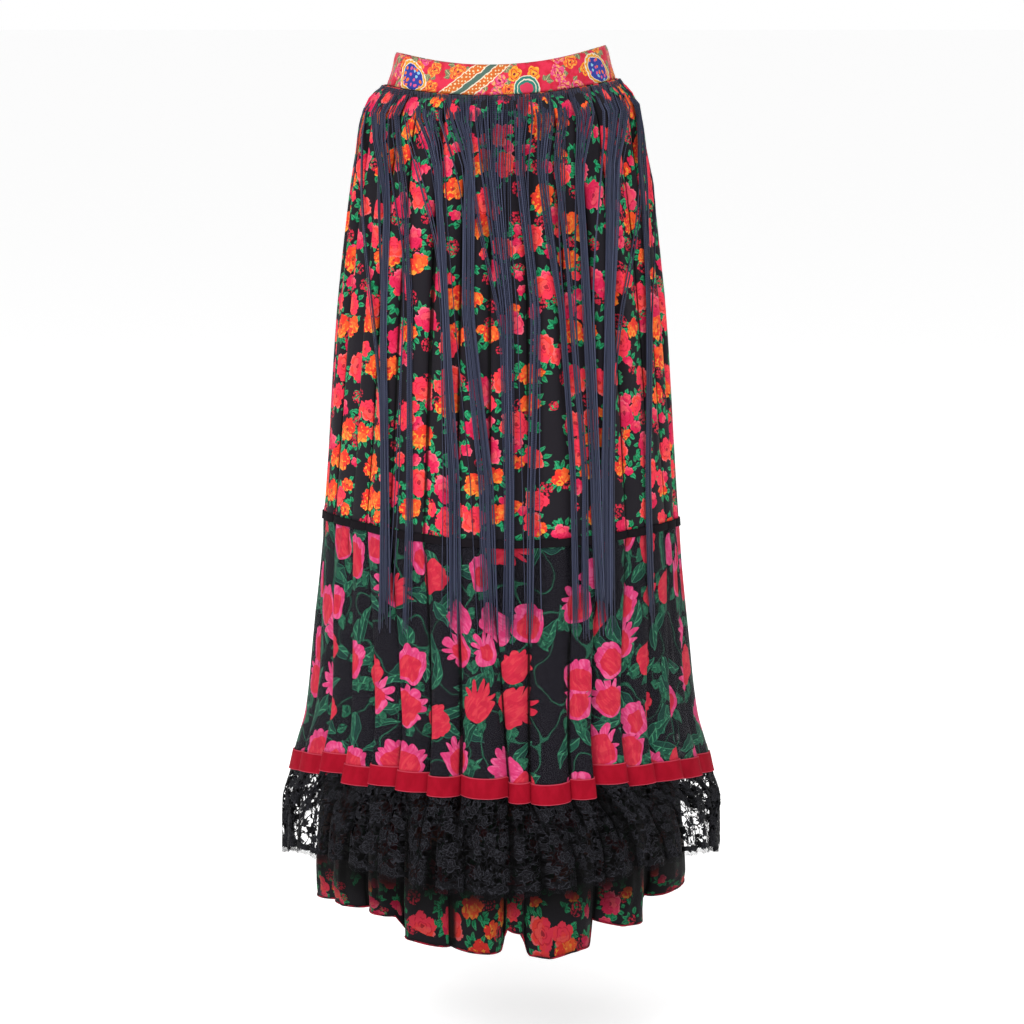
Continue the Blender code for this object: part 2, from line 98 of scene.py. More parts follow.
INNER = np.array([
    (JOIN, 0.1960, 0.1642, 0.0, 0.0, -0.0040, 0.016),
    (-0.800, 0.2070, 0.1735, 0.0, 0.0, 0.0, 0.0),
    (HEM_BEND, 0.2165, 0.1880, 0.0, 0.0, 0.0, 0.0),
    (HEM, 0.2150, 0.1980, 0.0, 0.0, 0.0, 0.0),
])

# Rows of each tube: height, strength of the folds above and of its own, share of the turn
UPPER_ROWS = np.array([
    (BAND_BOTTOM, 0.0, 0.25, 1.0),
    (-0.034, 0.0, 0.55, 1.0),
    (-0.100, 0.0, 0.90, 1.0),
    (-0.250, 0.0, 1.00, 1.0),
    (JOIN, 0.0, 0.40, 1.0),
])
LOWER_ROWS = np.array([
    (JOIN, 0.40, 0.0, 0.0),
    (JOIN - 0.0045, 0.40, 0.0, 0.0),
    (-0.640, 0.10, 0.60, 0.6),
    (LACE_JOIN + 0.0115, 0.0, 1.0, 1.0),
    (LACE_JOIN, 0.0, 1.0, 1.0),
])
LACE_ROWS = np.array([
    (LACE_JOIN, 1.0, 0.0, 0.0),
    (LACE_JOIN - 0.0115, 1.0, 0.0, 0.0),
    (-0.829, 0.50, 0.65, 0.5),
    (-0.862, 0.15, 1.00, 0.85),
    (LACE_HEM, 0.0, 1.20, 1.0),
])
UNDER_ROWS = np.array([
    (JOIN, 0.0, 0.0, 1.0),
    (-0.800, 0.0, 0.45, 1.0),
    (HEM_BEND, 0.0, 0.90, 1.0),
    (HEM, 0.0, 1.00, 1.0),
])

# Each kind of tube: its rings, its rows and the kind whose folds it takes over at its top
TUBES = {
    "upper": (OUTER, UPPER_ROWS, "upper"),
    "lower": (OUTER, LOWER_ROWS, "upper"),
    "lace": (OUTER, LACE_ROWS, "lower"),
    "under": (INNER, UNDER_ROWS, "under"),
}

# Fine gathers of each kind: seed, count, top, reach and depth. Soft creases of each kind:
# seed, count, top, bottom, depth and width in degrees. The back's seeds are one higher.
GATHERS = {
    "upper": (3, 58, BAND_BOTTOM, 0.075, 0.0034),
    "lower": (8, 52, JOIN, 0.070, 0.0036),
    "lace": (12, 62, LACE_JOIN - 0.010, 0.050, 0.0034),
}
SOFT_CREASES = {
    "upper": [(23, 34, -0.05, JOIN, 0.0040, 2.2)],
    "lower": [(28, 34, JOIN - 0.01, LACE_JOIN, 0.0034, 1.5)],
    "lace": [(32, 34, LACE_JOIN - 0.015, LACE_HEM - 0.02, 0.0036, 1.3)],
    "under": [(16, 24, -0.70, HEM, 0.0030, 2.0), (46, 30, -0.86, HEM - 0.02, 0.0046, 1.3)],
}
LOW_GATHERS = (8, 40, -JOIN, 0.030, 0.0010)

# Folds of a half: width, depth of the crease at the left, set-back of the face, where the
# face stands furthest out, from 0 at its left crease to 1 at its right one, and its slip up.
FRONT_PLEATS = np.array([
    (17.0, 0.010, 0.0, 0.22, 0.003),
    (15.5, 0.012, 0.0015, 0.22, 0.005),
    (9.5, 0.012, 0.0, 0.22, 0.012),
    (10.0, 0.011, 0.0010, 0.22, 0.003),
    (8.5, 0.012, 0.0, 0.25, 0.009),
    (9.0, 0.011, 0.0015, 0.25, 0.007),
    (9.5, 0.013, 0.0, 0.30, 0.006),
    (13.0, 0.016, 0.0, 0.50, 0.007),
    (6.0, 0.016, 0.0060, 0.50, 0.0),
    (11.0, 0.014, 0.0005, 0.50, -0.002),
    (7.5, 0.011, 0.0, 0.70, 0.0),
    (9.5, 0.018, 0.0, 0.75, 0.012),
    (10.0, 0.010, 0.0005, 0.75, 0.005),
    (12.0, 0.012, 0.0, 0.78, 0.003),
    (15.0, 0.013, 0.0035, 0.78, -0.001),
    (17.0, 0.013, 0.0, 0.78, 0.0),
])
FRONT_UNDER_FOLDS = np.array([
    (24.0, 0.012, 0.0, 0.45, 0.0),
    (20.0, 0.014, 0.0, 0.40, 0.0),
    (13.0, 0.016, 0.0, 0.40, 0.0),
    (19.0, 0.020, 0.0, 0.35, 0.0),
    (15.0, 0.014, 0.0, 0.60, 0.0),
    (7.0, 0.020, 0.0080, 0.50, 0.0),
    (22.0, 0.020, 0.0, 0.60, 0.0),
    (21.5, 0.022, 0.0, 0.65, 0.0),
    (38.5, 0.020, 0.0, 0.50, 0.0),
])
FOLDS_PER_HALF = 16
UNDERSKIRT_FOLDS = 9
LACE_WAVES = 20
TIER_DEPTH, BACK_PLEAT_DEPTH, LACE_DEPTH, UNDERSKIRT_DEPTH = 0.0085, 0.0120, 0.0095, 0.0160
BACK_PLEAT_SLIP = 0.004
SEAM_CREASE = {"upper": 0.0060, "lower": 0.0090, "lace": 0.0080, "under": 0.0120}
PLEAT_ROUNDNESS = 2.6
FOLD_STEPS = (0.0, 0.15, 0.5, 0.85)

# Height of the underskirt's hem above its lowest point, in millimetres by angle
FRONT_HEM = (
    (-90, -75, -62, -46, -35, -32, -27, -14, 0, 2, 6.5, 8.5, 15, 21, 29, 31.5, 39, 50, 53.5, 66, 90),
    (18, 26, 35, 39, 38, 17, 17, 10, 8, 32, 28, 2, 0, 6, 6, 33, 26, 22, 45, 44, 40),
)
BACK_HEM = ((-90, -60, -25, 0, 30, 60, 90), (18, 20, 9, 12, 8, 18, 40))

# Heights between which strands end, places along a strand, and degrees between which the
# hidden bundles lie
STRAND_ENDS = (-0.615, -0.560)
STRAND_PLACES = 22
HIDDEN_FROM, HIDDEN_TO = 100, 261

# Camera as fitted to the photo, the place that the lamps aim at, strength of the white studio
# for the cloth, and half the floor's width
LENS, SENSOR = 97.4, 36.0
CAMERA_PLACE, CAMERA_PITCH = (0.012, -3.1, 0.06), 10.2
AIM = (0.0, 0.0, -0.45)
AMBIENT = 0.58
FLOOR_REACH = 200

# Bundles of the fringe across the front. Angles are in degrees from the middle, half widths
# in millimetres, at the heights of BUNDLE_HEIGHTS.
BUNDLE_HEIGHTS = (-0.100, -0.250, -0.435, -0.600)
Bundle = namedtuple("Bundle", "roots centres half_widths")
FRONT_BUNDLES = (
    Bundle((-99, -79), (-93, -97, -100, -102), (7, 5, 5, 5)),
    Bundle((-79, -56), (-45.7, -43.1, -39.4, -36.5), (5, 5, 5, 7)),
    Bundle((-56, -48), (-37.6, -31.7, -29.9, -28.7), (4.5, 2, 2.5, 3)),
    Bundle((-48, -30.6), (-23.6, -18.6, -14.9, -13.6), (6, 3, 6, 6.5)),
    Bundle((-30.6, -14.7), (-11.4, -10.9, -4.4, -2.7), (7, 6.5, 8, 8)),
    Bundle((-14.7, 4.9), (-3.4, 2.0, 2.8, 2.6), (13, 7, 5, 4.5)),
    Bundle((4.9, 14.7), (7.2, 11.6, 9.5, 8.4), (5, 5, 4.5, 4)),
    Bundle((14.7, 26), (14.8, 20.4, 22.9, 22.4), (7, 2.5, 2.5, 4)),
    Bundle((26, 34), (21.2, 24.0, 27.0, 25.5), (6, 3, 4, 4)),
    Bundle((34, 49.7), (29.9, 30.1, 30.9, 30.8), (6, 6, 5, 5)),
    Bundle((49.7, 79), (45.7, 39.1, 35.8, 33.5), (14, 7, 7, 6.5)),
    Bundle((79, 100), (65.7, 60, 54, 51), (6, 4, 3, 3)),
)


def shade(red, green, blue):
    """Linear colour from screen values between 0 and 255."""
    value = np.array([red, green, blue]) / 255
    return tuple(float(v) for v in np.where(value < 0.04, value / 12.92, ((value + 0.055) / 1.055) ** 2.4))


def length_value(name, description, default):
    return FloatProperty(name=name, description=description, default=default, min=0.0,
                         unit="LENGTH", subtype="DISTANCE", precision=5)


def colour_value(name, description, default):
    return FloatVectorProperty(name=name, description=description, default=default, size=3,
                               min=0.0, max=1.0, subtype="COLOR")


class SkirtSizes(bpy.types.PropertyGroup):
    """Sizes of the cloth, the yarn and the prints."""

    cloth: length_value("Cloth", "Thickness of the printed cloths", 0.0006)
    band: length_value("Band", "Thickness of the folded waistband", 0.0018)
    hem_roll: length_value("Hem roll", "Radius of the underskirt's rolled hem", 0.0010)
    velvet: length_value("Velvet", "Thickness of the velvet tape and ribbon", 0.0011)
    thread: length_value("Thread", "Distance between the threads of a weave", 0.00045)
    rose_spacing: length_value("Rose spacing", "Mean distance between roses", 0.038)
    flower_spacing: length_value("Flower spacing", "Mean distance between painted flowers", 0.060)
    strand: length_value("Strand", "Radius of a strand of the fringe", 0.00054)
    strand_gap: length_value("Strand gap", "Distance between the roots of two strands", 0.00125)
    floor_drop: length_value("Floor drop", "Height of the hem above the floor", 0.140)
    finer: IntProperty(name="Finer", description="Columns of the scene for each column of the part",
                       default=4, min=1, max=6)


class SkirtColours(bpy.types.PropertyGroup):
    """Dye colours of the cloths."""

    ground: colour_value("Ground", "Near-black ground of the rose print", shade(31, 28, 34))
    coral: colour_value("Coral rose", "Most of the roses", shade(248, 56, 82))
    orange: colour_value("Orange rose", "The warmer roses", shade(255, 92, 44))
    amber: colour_value("Amber petals", "Lower petals of the warmer roses", shade(255, 156, 58))
    leaf: colour_value("Leaf", "Small leaves of the rose print", shade(26, 140, 88))
    chiffon: colour_value("Chiffon", "Black ground of the lower tier", shade(30, 28, 36))
    pink: colour_value("Pink petals", "Petals of the painted flowers", shade(240, 72, 134))
    blotch: colour_value("Red blotch", "Hearts of the painted flowers", shade(226, 48, 74))
    dark_leaf: colour_value("Dark leaf", "Painted leaves", shade(26, 72, 58))
    ribbon: colour_value("Ribbon", "Red velvet", shade(150, 12, 33))
    tape: colour_value("Tape", "Black velvet", shade(24, 20, 24))
    lace: colour_value("Lace", "Ground threads of the lace", shade(17, 17, 20))
    # The cord colour is lighter than the lace as a painted sheen of the raised threads
    cord: colour_value("Lace cord", "Raised threads of the lace", shade(58, 58, 65))
    yarn: colour_value("Yarn", "Navy yarn of the fringe", shade(54, 60, 88))


# Shapes, worked out as grids of points

def closed(grid):
    """The grid with its first column again at the end."""
    return np.concatenate([grid, grid[:, :1]], axis=1)


def running_sum(steps):
    """0 and then the sum of the steps so far."""
    return np.concatenate([[0.0], np.cumsum(steps)])


def varied_folds(count, depth, seed, slip=0.0):
    """Folds of about the same width and depth, each a little different."""
    draw = np.random.default_rng(seed)
    width = draw.uniform(0.78, 1.22, count)
    crease = depth * draw.uniform(0.7, 1.25, count)
    back = depth * draw.choice([0.0, 0.0, 0.12, 0.3], count)
    peak = draw.uniform(0.3, 0.7, count)
    return np.column_stack([width, crease, back, peak, slip * draw.uniform(-1.0, 1.0, count)])


def folds_of(half):
    """The folds of each tube's half, as arrays of width, depth, set-back, peak and slip."""
    seed = 11 if half == "front" else 47
    pleats = varied_folds(FOLDS_PER_HALF, BACK_PLEAT_DEPTH, seed + 1, BACK_PLEAT_SLIP)
    under = varied_folds(UNDERSKIRT_FOLDS, UNDERSKIRT_DEPTH, seed + 3)
    return {
        "upper": varied_folds(FOLDS_PER_HALF, TIER_DEPTH, seed),
        "lower": FRONT_PLEATS if half == "front" else pleats,
        "lace": varied_folds(LACE_WAVES, LACE_DEPTH, seed + 2),
        "under": FRONT_UNDER_FOLDS if half == "front" else under,
    }


def steps_of(kind):
    """Places, counted in folds, of the columns that the part has on this kind of fold."""
    if kind == "lace":
        counts = [4 if wave % 5 == 2 else 3 for wave in range(LACE_WAVES)]
        places = [wave + step / count for wave, count in enumerate(counts) for step in range(count)]
        return np.array(places + [LACE_WAVES])
    count = UNDERSKIRT_FOLDS if kind == "under" else FOLDS_PER_HALF
    return np.append(np.add.outer(np.arange(count), FOLD_STEPS).ravel(), count)


def fold_line(folds, place, seam_crease, lean):
    """Angle, inset and slip at each place of a half.

    Inset = set-back + (depth of the nearer crease - set-back) x (distance from the peak over
    the distance from peak to crease) ^ roundness. Near a crease the angle is pushed by lean
    times the fold's width, so that the next face hides the crease as in a pressed pleat.
    The slip steps from one face's to the next within a few hundredths of the fold.
    """
    width, depth, back, peak, slip = folds.T
    edges = running_sum(width)
    edges = np.radians(180.0 * edges / edges[-1] - 90.0)
    creases = np.concatenate([[seam_crease], depth[1:], [seam_crease]])
    fold = np.clip(place.astype(int), 0, len(width) - 1)
    step = place - fold
    left = step < peak[fold]
    reach = np.where(left, (peak[fold] - step) / peak[fold], (step - peak[fold]) / (1 - peak[fold]))
    crease = np.where(left, creases[fold], creases[fold + 1])
    inset = back[fold] + (crease - back[fold]) * reach ** PLEAT_ROUNDNESS
    push = lean[np.where(left, fold, fold + 1)] * reach ** 6
    corners = (np.arange(len(width))[:, None] + (0.05, 0.95)).ravel()
    lift = np.interp(place, corners, np.repeat(slip, 2))
    return edges[fold] + (step + push) * np.diff(edges)[fold], inset, lift


def leans(folds, most):
    """How far each crease is tucked under the face beside it, from where the faces peak."""
    peak = folds[:, 3]
    tucked = 4 * np.maximum(0.5 - peak[1:], 0) - 4 * np.maximum(peak[:-1] - 0.5, 0)
    return np.concatenate([[0.0], most * np.clip(tucked, -1, 1), [0.0]])


def half_line(half, kind, above, finer):
    """Angles, insets and slips of the folds above and of the tube's own, column by column."""
    folds = folds_of(half)
    found = []
    for name in (above, kind):
        steps = steps_of(name)
        column = np.linspace(0, len(steps) - 1, (len(steps) - 1) * finer + 1)
        place = np.interp(column, np.arange(len(steps)), steps)
        lean = leans(folds[name], 0.30)
        if name != "lower":
            turn = np.random.default_rng(len(name) + len(half)).uniform(-0.16, 0.16, len(lean) - 2)
            lean = np.concatenate([[0.0], turn, [0.0]])
        found.append(fold_line(folds[name], place, SEAM_CREASE[name], lean))
    return found


def heights(low, high, count):
    """Even heights from the top one down."""
    return np.linspace(high, low, count)


def rings(table, z):
    """Columns of a section table at heights z, joined by smooth curves through its rows."""
    known = -table[:, 0]
    values = table[:, 1:]
    slope = np.gradient(values, known, axis=0)
    index = np.clip(np.searchsorted(known, -z, side="right") - 1, 0, len(known) - 2)
    span = (known[index + 1] - known[index])[:, None]
    t = ((-z - known[index]) / span[:, 0])[:, None]
    straight = values[index] + (values[index + 1] - values[index]) * t
    curve = ((2 * t**3 - 3 * t**2 + 1) * values[index] + (t**3 - 2 * t**2 + t) * span * slope[index]
             + (3 * t**2 - 2 * t**3) * values[index + 1] + (t**3 - t**2) * span * slope[index + 1])
    return (0.4 * straight + 0.6 * curve).T[:, :, None]


def tube_half(table, z, angle, inset, half, slip=0.0):
    """Points of a half tube: each ring's ellipse, set in along its own normal.

    x = half width x sine, y = half depth x cosine towards the front or back, and the height
    is lifted by rise x cosine squared, tilt x sine and lift x sine squared x cosine.
    """
    wide, deep, front_rise, back_rise, tilt, lift = rings(table, z)
    facing = -1.0 if half == "front" else 1.0
    rise = front_rise if half == "front" else back_rise
    sine, cosine = np.sin(angle), np.cos(angle)
    out = np.stack([deep * sine, facing * wide * cosine])
    out /= np.linalg.norm(out, axis=0)
    x = wide * sine - out[0] * inset
    y = facing * deep * cosine - out[1] * inset
    height = z[:, None] + rise * cosine**2 + tilt * sine + lift * sine**2 * cosine + slip
    return np.stack([x, y, height + 0 * x], axis=-1)


def round_the_skirt(front, back):
    """Joins two half grids into one tube, from the left seam by the front and back to it."""
    return np.concatenate([front[:, :-1], back[:, ::-1][:, :-1]], axis=1)


def fine_gathers(z, angle, seed, count, top, reach, depth):
    """Small gathers below a seam: cosines of uneven pitch, fading over reach."""
    draw = np.random.default_rng(seed)
    wander = sum(draw.uniform(0.2, 0.6) * np.sin(k * angle + draw.uniform(0, 6.3)) for k in (3, 5, 9, 14))
    fade = np.exp(-np.clip(top - z, 0, None) / reach)[:, None]
    uneven = 0.65 + 0.35 * np.sin(11 * angle + draw.uniform(0, 6.3))
    return depth * fade * uneven * (0.5 - 0.5 * np.cos(count * angle + 3 * wander))


def soft_creases(z, angle, seed, count, top, bottom, depth, width):
    """Soft troughs and ridges with uneven places, lengths, depths, widths and slants."""
    draw = np.random.default_rng(seed)
    at = draw.uniform(-88, 88, count)
    middle = draw.uniform(bottom, top, count)
    reach = draw.uniform(0.2, 0.6, count) * (top - bottom)
    total = 0.0
    for at, top, bottom, depth, width, slant in np.column_stack([
        at, np.minimum(middle + reach, top), np.maximum(middle - reach, bottom),
        depth * draw.uniform(-0.8, 1.0, count), width * draw.uniform(0.6, 1.5, count),
        draw.uniform(-2.5, 2.5, count),
    ]):
        middle, half = (top + bottom) / 2, (top - bottom) / 2
        along = np.clip(1 - ((z - middle) / half) ** 2, 0, None)[:, None]
        off = (np.degrees(angle) - at - slant * (z - middle)[:, None] / half) / width
        total = total + depth * along * np.exp(-off**2)
    return total


def side_fade(angle):
    """0 at the side seams, so that the small folds of front and back meet there."""
    return np.clip((np.pi / 2 - np.abs(angle)) / 0.06, 0, 1)


def waist_puff(z):
    """How far the gathers stand out just below the waist seam: a bell over a few millimetres."""
    return 0.0046 * np.exp(-(((BAND_BOTTOM - z) - 0.0105) / 0.0085) ** 2)


def small_folds(kind, half, z, angle):
    """How far the fine gathers and soft creases of a tube's half lie inwards."""
    later = 0 if half == "front" else 1
    total = 0.0
    if kind in GATHERS:
        seed, *sizes = GATHERS[kind]
        total = fine_gathers(z, angle, seed + later, *sizes)
    for seed, *sizes in SOFT_CREASES[kind]:
        total = total + soft_creases(z, angle, seed + later, *sizes)
    if kind == "upper":
        seed, *sizes = LOW_GATHERS
        total = total + fine_gathers(-z, angle, seed + later, *sizes)
        return total * side_fade(angle) - waist_puff(z)[:, None]
    if kind == "lace":
        total = total * np.clip((LACE_JOIN - 0.006 - z) / 0.012, 0, 1)[:, None]
    return total * side_fade(angle)


def band_inset(half, angle, share):
    """How far the band lies inwards at an angle and a share of its height.

    The side seams are bells 1 mm deep. The closing edge is a bell 4 mm deep, and past it the
    front lies 0.9 mm deeper. The band's two edges roll in by 1.1 mm with the eighth power of
    the distance from its middle, and waves of 0.3 and 0.4 mm pucker it.
    """
    seam = 0.0010 * np.exp(-((np.pi / 2 - np.abs(angle)) / 0.030) ** 2)
    if half == "front":
        past = (CLOSING - angle) / 0.018
        seam = seam + 0.0040 * np.exp(-past**2) + 0.0009 * np.clip(past, 0, 1) * side_fade(angle)
    roll = 0.0011 * (2 * share - 1) ** 8
    pucker = 0.0003 * np.cos(46 * angle) * (1 - share) + 0.0004 * np.cos(9 * angle + 4 * share)
    return roll + seam + (0.0004 + pucker) * side_fade(angle)


def skirt_tube(kind, z, finer, trim_rows=None):
    """The grid of a whole tube, or of a trim that has rows of its own and no small folds."""
    table, rows, above = TUBES[kind]
    rows = rows if trim_rows is None else trim_rows
    high, own, turn = (np.interp(-z, -rows[:, 0], rows[:, k])[:, None] for k in (1, 2, 3))
    halves = []
    for half in ("front", "back"):
        (high_angle, high_inset, high_slip), (own_angle, own_inset, own_slip) = half_line(
            half, kind, above, finer)
        angle = high_angle + turn * (own_angle - high_angle)
        inset = high * high_inset + own * own_inset
        if trim_rows is None:
            inset = inset + small_folds(kind, half, z, angle)
        halves.append(tube_half(table, z, angle, inset, half, high * high_slip + own * own_slip))
    return round_the_skirt(*halves)


def outward(points):
    """Unit normals of a tube's grid, pointing away from the skirt."""
    along = np.roll(points, -1, axis=1) - np.roll(points, 1, axis=1)
    down = np.gradient(points, axis=0)
    normal = np.cross(down, along)
    return normal / np.linalg.norm(normal, axis=-1, keepdims=True)


def valleys(points):
    """How deep each point lies between its neighbours, from 0 on a ridge to 1 in a crease.

    For three distances along the ring, the rise of the neighbours' middle above the point is
    divided by half the distance between them, and the three shares are added.
    """
    normal = outward(points)
    total = 0.0
    for step, strength in ((2, 0.5), (5, 0.6), (10, 0.6)):
        before, after = np.roll(points, step, axis=1), np.roll(points, -step, axis=1)
        rise = (((before + after) / 2 - points) * normal).sum(axis=-1)
        total = total + strength * np.clip(rise / np.linalg.norm(after - before, axis=-1) * 2, 0, 1)
    return np.clip(total, 0, 1)


def flat_map(points, top=0.0):
    """Flat-cloth coordinates of a tube: width along the widest ring, length down the cloth."""
    whole = closed(points)
    run = np.linalg.norm(np.diff(whole, axis=1), axis=-1)
    fall = np.linalg.norm(np.diff(whole, axis=0), axis=-1).mean(axis=1)
    u = running_sum(run[np.argmax(run.sum(axis=1))])
    v = top - running_sum(fall)
    return np.broadcast_to(u, whole.shape[:2]), np.broadcast_to(v[:, None], whole.shape[:2])


def new_object(name, vertices, faces, maps, material):
    """A mesh object at the origin. Each map has one UV pair for each corner of its faces."""
    mesh = bpy.data.meshes.new(name)
    mesh.from_pydata(vertices.reshape(-1, 3), [], faces.reshape(len(faces), -1))
    for title, uv in maps.items():
        layer = mesh.uv_layers.new(name=title)
        layer.data.foreach_set("uv", uv.astype(np.float32).ravel())
    mesh.polygons.foreach_set("use_smooth", np.ones(len(faces), bool))
    mesh.update()
    made = bpy.data.objects.new(name, mesh)
    bpy.context.scene.collection.objects.link(made)
    mesh.materials.append(material)
    return made


def quads(grid):
    """The four corners of each quad of a grid, whose items are numbers or pairs."""
    return np.stack([grid[1:, :-1], grid[1:, 1:], grid[:-1, 1:], grid[:-1, :-1]], axis=2)


def tube_object(name, points, u, v, material, thickness):
    """A tube closed round its columns, with the cloth's thickness inwards from its grid.

    Its map Cloth holds the flat cloth, and its map Folds how deep in a crease and how high.
    """
    rows, columns = points.shape[:2]
    faces = quads(closed(np.arange(rows * columns).reshape(rows, columns)))
    folds = closed(np.stack([valleys(points), points[..., 2]], axis=-1))
    maps = {"Cloth": quads(np.stack([u, v], axis=-1)), "Folds": quads(folds)}
    made = new_object(name, points, faces.reshape(-1, 4), maps, material)
    wall = made.modifiers.new("Cloth thickness", "SOLIDIFY")
    wall.thickness = thickness
    wall.offset = -1.0
    wall.use_even_offset = False
    return made


def finish_piece(made, kind):
    """Rides on the body and stands for its two CAD halves, which it hides."""
    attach(made, BODY)
    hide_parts(f"{kind}_front", f"{kind}_back")


# Numbers and colours that run through a node tree

class Wire:
    """A number or colour that runs through a node tree. Sums on it add Math nodes."""

    def __init__(self, socket):
        self.socket = socket

    def __add__(self, other):
        return maths("ADD", self, other)

    def __sub__(self, other):
        return maths("SUBTRACT", self, other)

    def __rsub__(self, other):
        return maths("SUBTRACT", other, self)

    def __mul__(self, other):
        return maths("MULTIPLY", self, other)

    def __truediv__(self, other):
        return maths("DIVIDE", self, other)

    __radd__ = __add__
    __rmul__ = __mul__


def feed(socket, value):
    """Joins a wire to the socket, or sets the socket to a plain value."""
    if isinstance(value, Wire):
        socket.id_data.links.new(value.socket, socket)
    else:
        socket.default_value = value


def new_node(kind, values, **settings):
    """A node with its settings, and with values fed to the inputs of those numbers or names."""
    tree = next(value.socket.id_data for value in values.values() if isinstance(value, Wire))
    node = tree.nodes.new(kind)
    for title, setting in settings.items():
        setattr(node, title, setting)
    for place, value in values.items():
        feed(node.inputs[place], value)
    return node


def maths(operation, *values):
    return Wire(new_node("ShaderNodeMath", dict(enumerate(values)), operation=operation).outputs[0])


def is_below(value, limit):
    return maths("LESS_THAN", value, limit)


def is_above(value, limit):
    return maths("GREATER_THAN", value, limit)


def both(*masks):
    made = masks[0]
    for mask in masks[1:]:
        made = made * mask
    return made


def either(first, second):
    return maths("MAXIMUM", first, second)


def wave(value):
    return maths("COSINE", value)


def sine(value):
    return maths("SINE", value)


def turn_of(y, x):
    """Angle of the place (x, y) round the origin."""
    return maths("ARCTAN2", y, x)


def reach_of(x, y):
    """Distance of the place (x, y) from the origin."""
    return maths("SQRT", x * x + y * y)


def size_of(value):
    return maths("ABSOLUTE", value)


def near(value, middle, reach):
    """1 where the value lies less than the reach from the middle, else 0."""
    return is_below(size_of(value - middle), reach)


def mix_number(share, first, second):
    return first + (second - first) * share


def ramp(value, low, high, start=0.0, end=1.0):
    """Goes smoothly from start to end while value goes from low to high."""
    values = dict(enumerate((value, low, high, start, end)))
    return Wire(new_node("ShaderNodeMapRange", values, interpolation_type="SMOOTHSTEP").outputs[0])


def mixed(share, first, second, blend="MIX"):
    """Colour between first and second, or their blend."""
    tones = {place: tone if isinstance(tone, Wire) else (*tone[:3], 1.0)
             for place, tone in ((6, first), (7, second))}
    node = new_node("ShaderNodeMix", {0: share, **tones}, data_type="RGBA", blend_type=blend)
    return Wire(node.outputs[2])


def darkened(colour, mask, low):
    """The colour, down to its share low where the mask is 0."""
    return mixed(1.0, colour, mixed(mask, (low, low, low), (1.0, 1.0, 1.0)), "MULTIPLY")


def painted(colour, *layers):
    """The colour under layers of paint, each a mask and the colour laid on there."""
    for mask, tone in layers:
        colour = mixed(mask, colour, tone)
    return colour


def plane(x, y):
    """A vector for a texture from two numbers."""
    return Wire(new_node("ShaderNodeCombineXYZ", {0: x, 1: y}).outputs[0])


def split(vector):
    return [Wire(socket) for socket in new_node("ShaderNodeSeparateXYZ", {0: vector}).outputs]


def noise(x, y, size, detail=2.0, rough=0.5):
    """Noise with features of about the given size in metres."""
    values = {"Vector": plane(x, y), "Scale": 1.0 / size, "Detail": detail, "Roughness": rough}
    return Wire(new_node("ShaderNodeTexNoise", values, noise_dimensions="2D").outputs["Fac"])


def warped(x, y, size, reach, detail, rough):
    """The coordinates, moved by noise of up to half the reach, as if drawn by hand."""
    return (x + (noise(x, y, size, detail, rough) - 0.5) * reach,
            y + (noise(x, y + 3.0, size, detail, rough) - 0.5) * reach)


def scattered(across, up, looseness, feature="F1"):
    """A texture of scattered points, about one unit from each other."""
    values = {"Vector": plane(across, up), "Scale": 1.0, "Randomness": looseness}
    return new_node("ShaderNodeTexVoronoi", values, voronoi_dimensions="2D", feature=feature).outputs


Cell = namedtuple("Cell", "x y distance first second third")


def cells(x, y, spacing, looseness, shift):
    """Scattered points: offsets from the nearest one, in metres, and its three chances."""
    across, up = x / spacing + shift, y / spacing + shift * 1.7
    found = scattered(across, up, looseness)
    at_x, at_y, _ = split(Wire(found["Position"]))
    return Cell((across - at_x) * spacing, (up - at_y) * spacing, Wire(found["Distance"]) * spacing,
                *split(Wire(found["Color"])))


def cell_edges(x, y, spacing, looseness):
    """Distance in metres to the nearest edge between scattered cells."""
    found = scattered(x / spacing, y / spacing, looseness, "DISTANCE_TO_EDGE")
    return Wire(found["Distance"]) * spacing


def new_group(name, inputs, outputs):
    """A shader node group with the given sockets: its tree, its wires in and its ends out."""
    kinds = {"vector": "NodeSocketVector", "colour": "NodeSocketColor", "number": "NodeSocketFloat"}
    tree = bpy.data.node_groups.new(name, "ShaderNodeTree")
    for title, kind in inputs.items():
        tree.interface.new_socket(title, in_out="INPUT", socket_type=kinds[kind])
    for title, kind in outputs.items():
        tree.interface.new_socket(title, in_out="OUTPUT", socket_type=kinds[kind])
    start, end = tree.nodes.new("NodeGroupInput"), tree.nodes.new("NodeGroupOutput")
    return tree, {title: Wire(start.outputs[title]) for title in inputs}, end.inputs


def placed(tree, group, **values):
    """The group placed in a material with its own values."""
    node = tree.nodes.new("ShaderNodeGroup")
    node.node_tree = group
    for title, value in values.items():
        socket = node.inputs[title.replace("_", " ")]
        feed(socket, value if isinstance(value, (Wire, float)) else (*value, 1.0))
    return {socket.name: Wire(socket) for socket in node.outputs}


def group_called(name, build):
    """The group of that name, built the first time that a material asks for it."""
    return bpy.data.node_groups.get(name) or build(name)


# Prints, weave, pile and lace, each a node group

def leaf_edge(share, width):
    """Half width of an ovate leaf: width x sine of (pi x share of the length ^ 0.75)."""
    return sine(maths("POWER", share, 0.75) * math.pi) * width


def leaf_mask(along, across, length, width):
    """Mask of a leaf from 0 to length, and the share of its length at each place."""
    share = maths("MINIMUM", maths("MAXIMUM", along / length, 0.0), 1.0)
    return is_below(size_of(across), leaf_edge(share, width)), share


def turned(cell, angle):
    """The cell's offsets in axes turned by the angle."""
    level, upright = wave(angle), sine(angle)
    return cell.x * level + cell.y * upright, cell.y * level - cell.x * upright


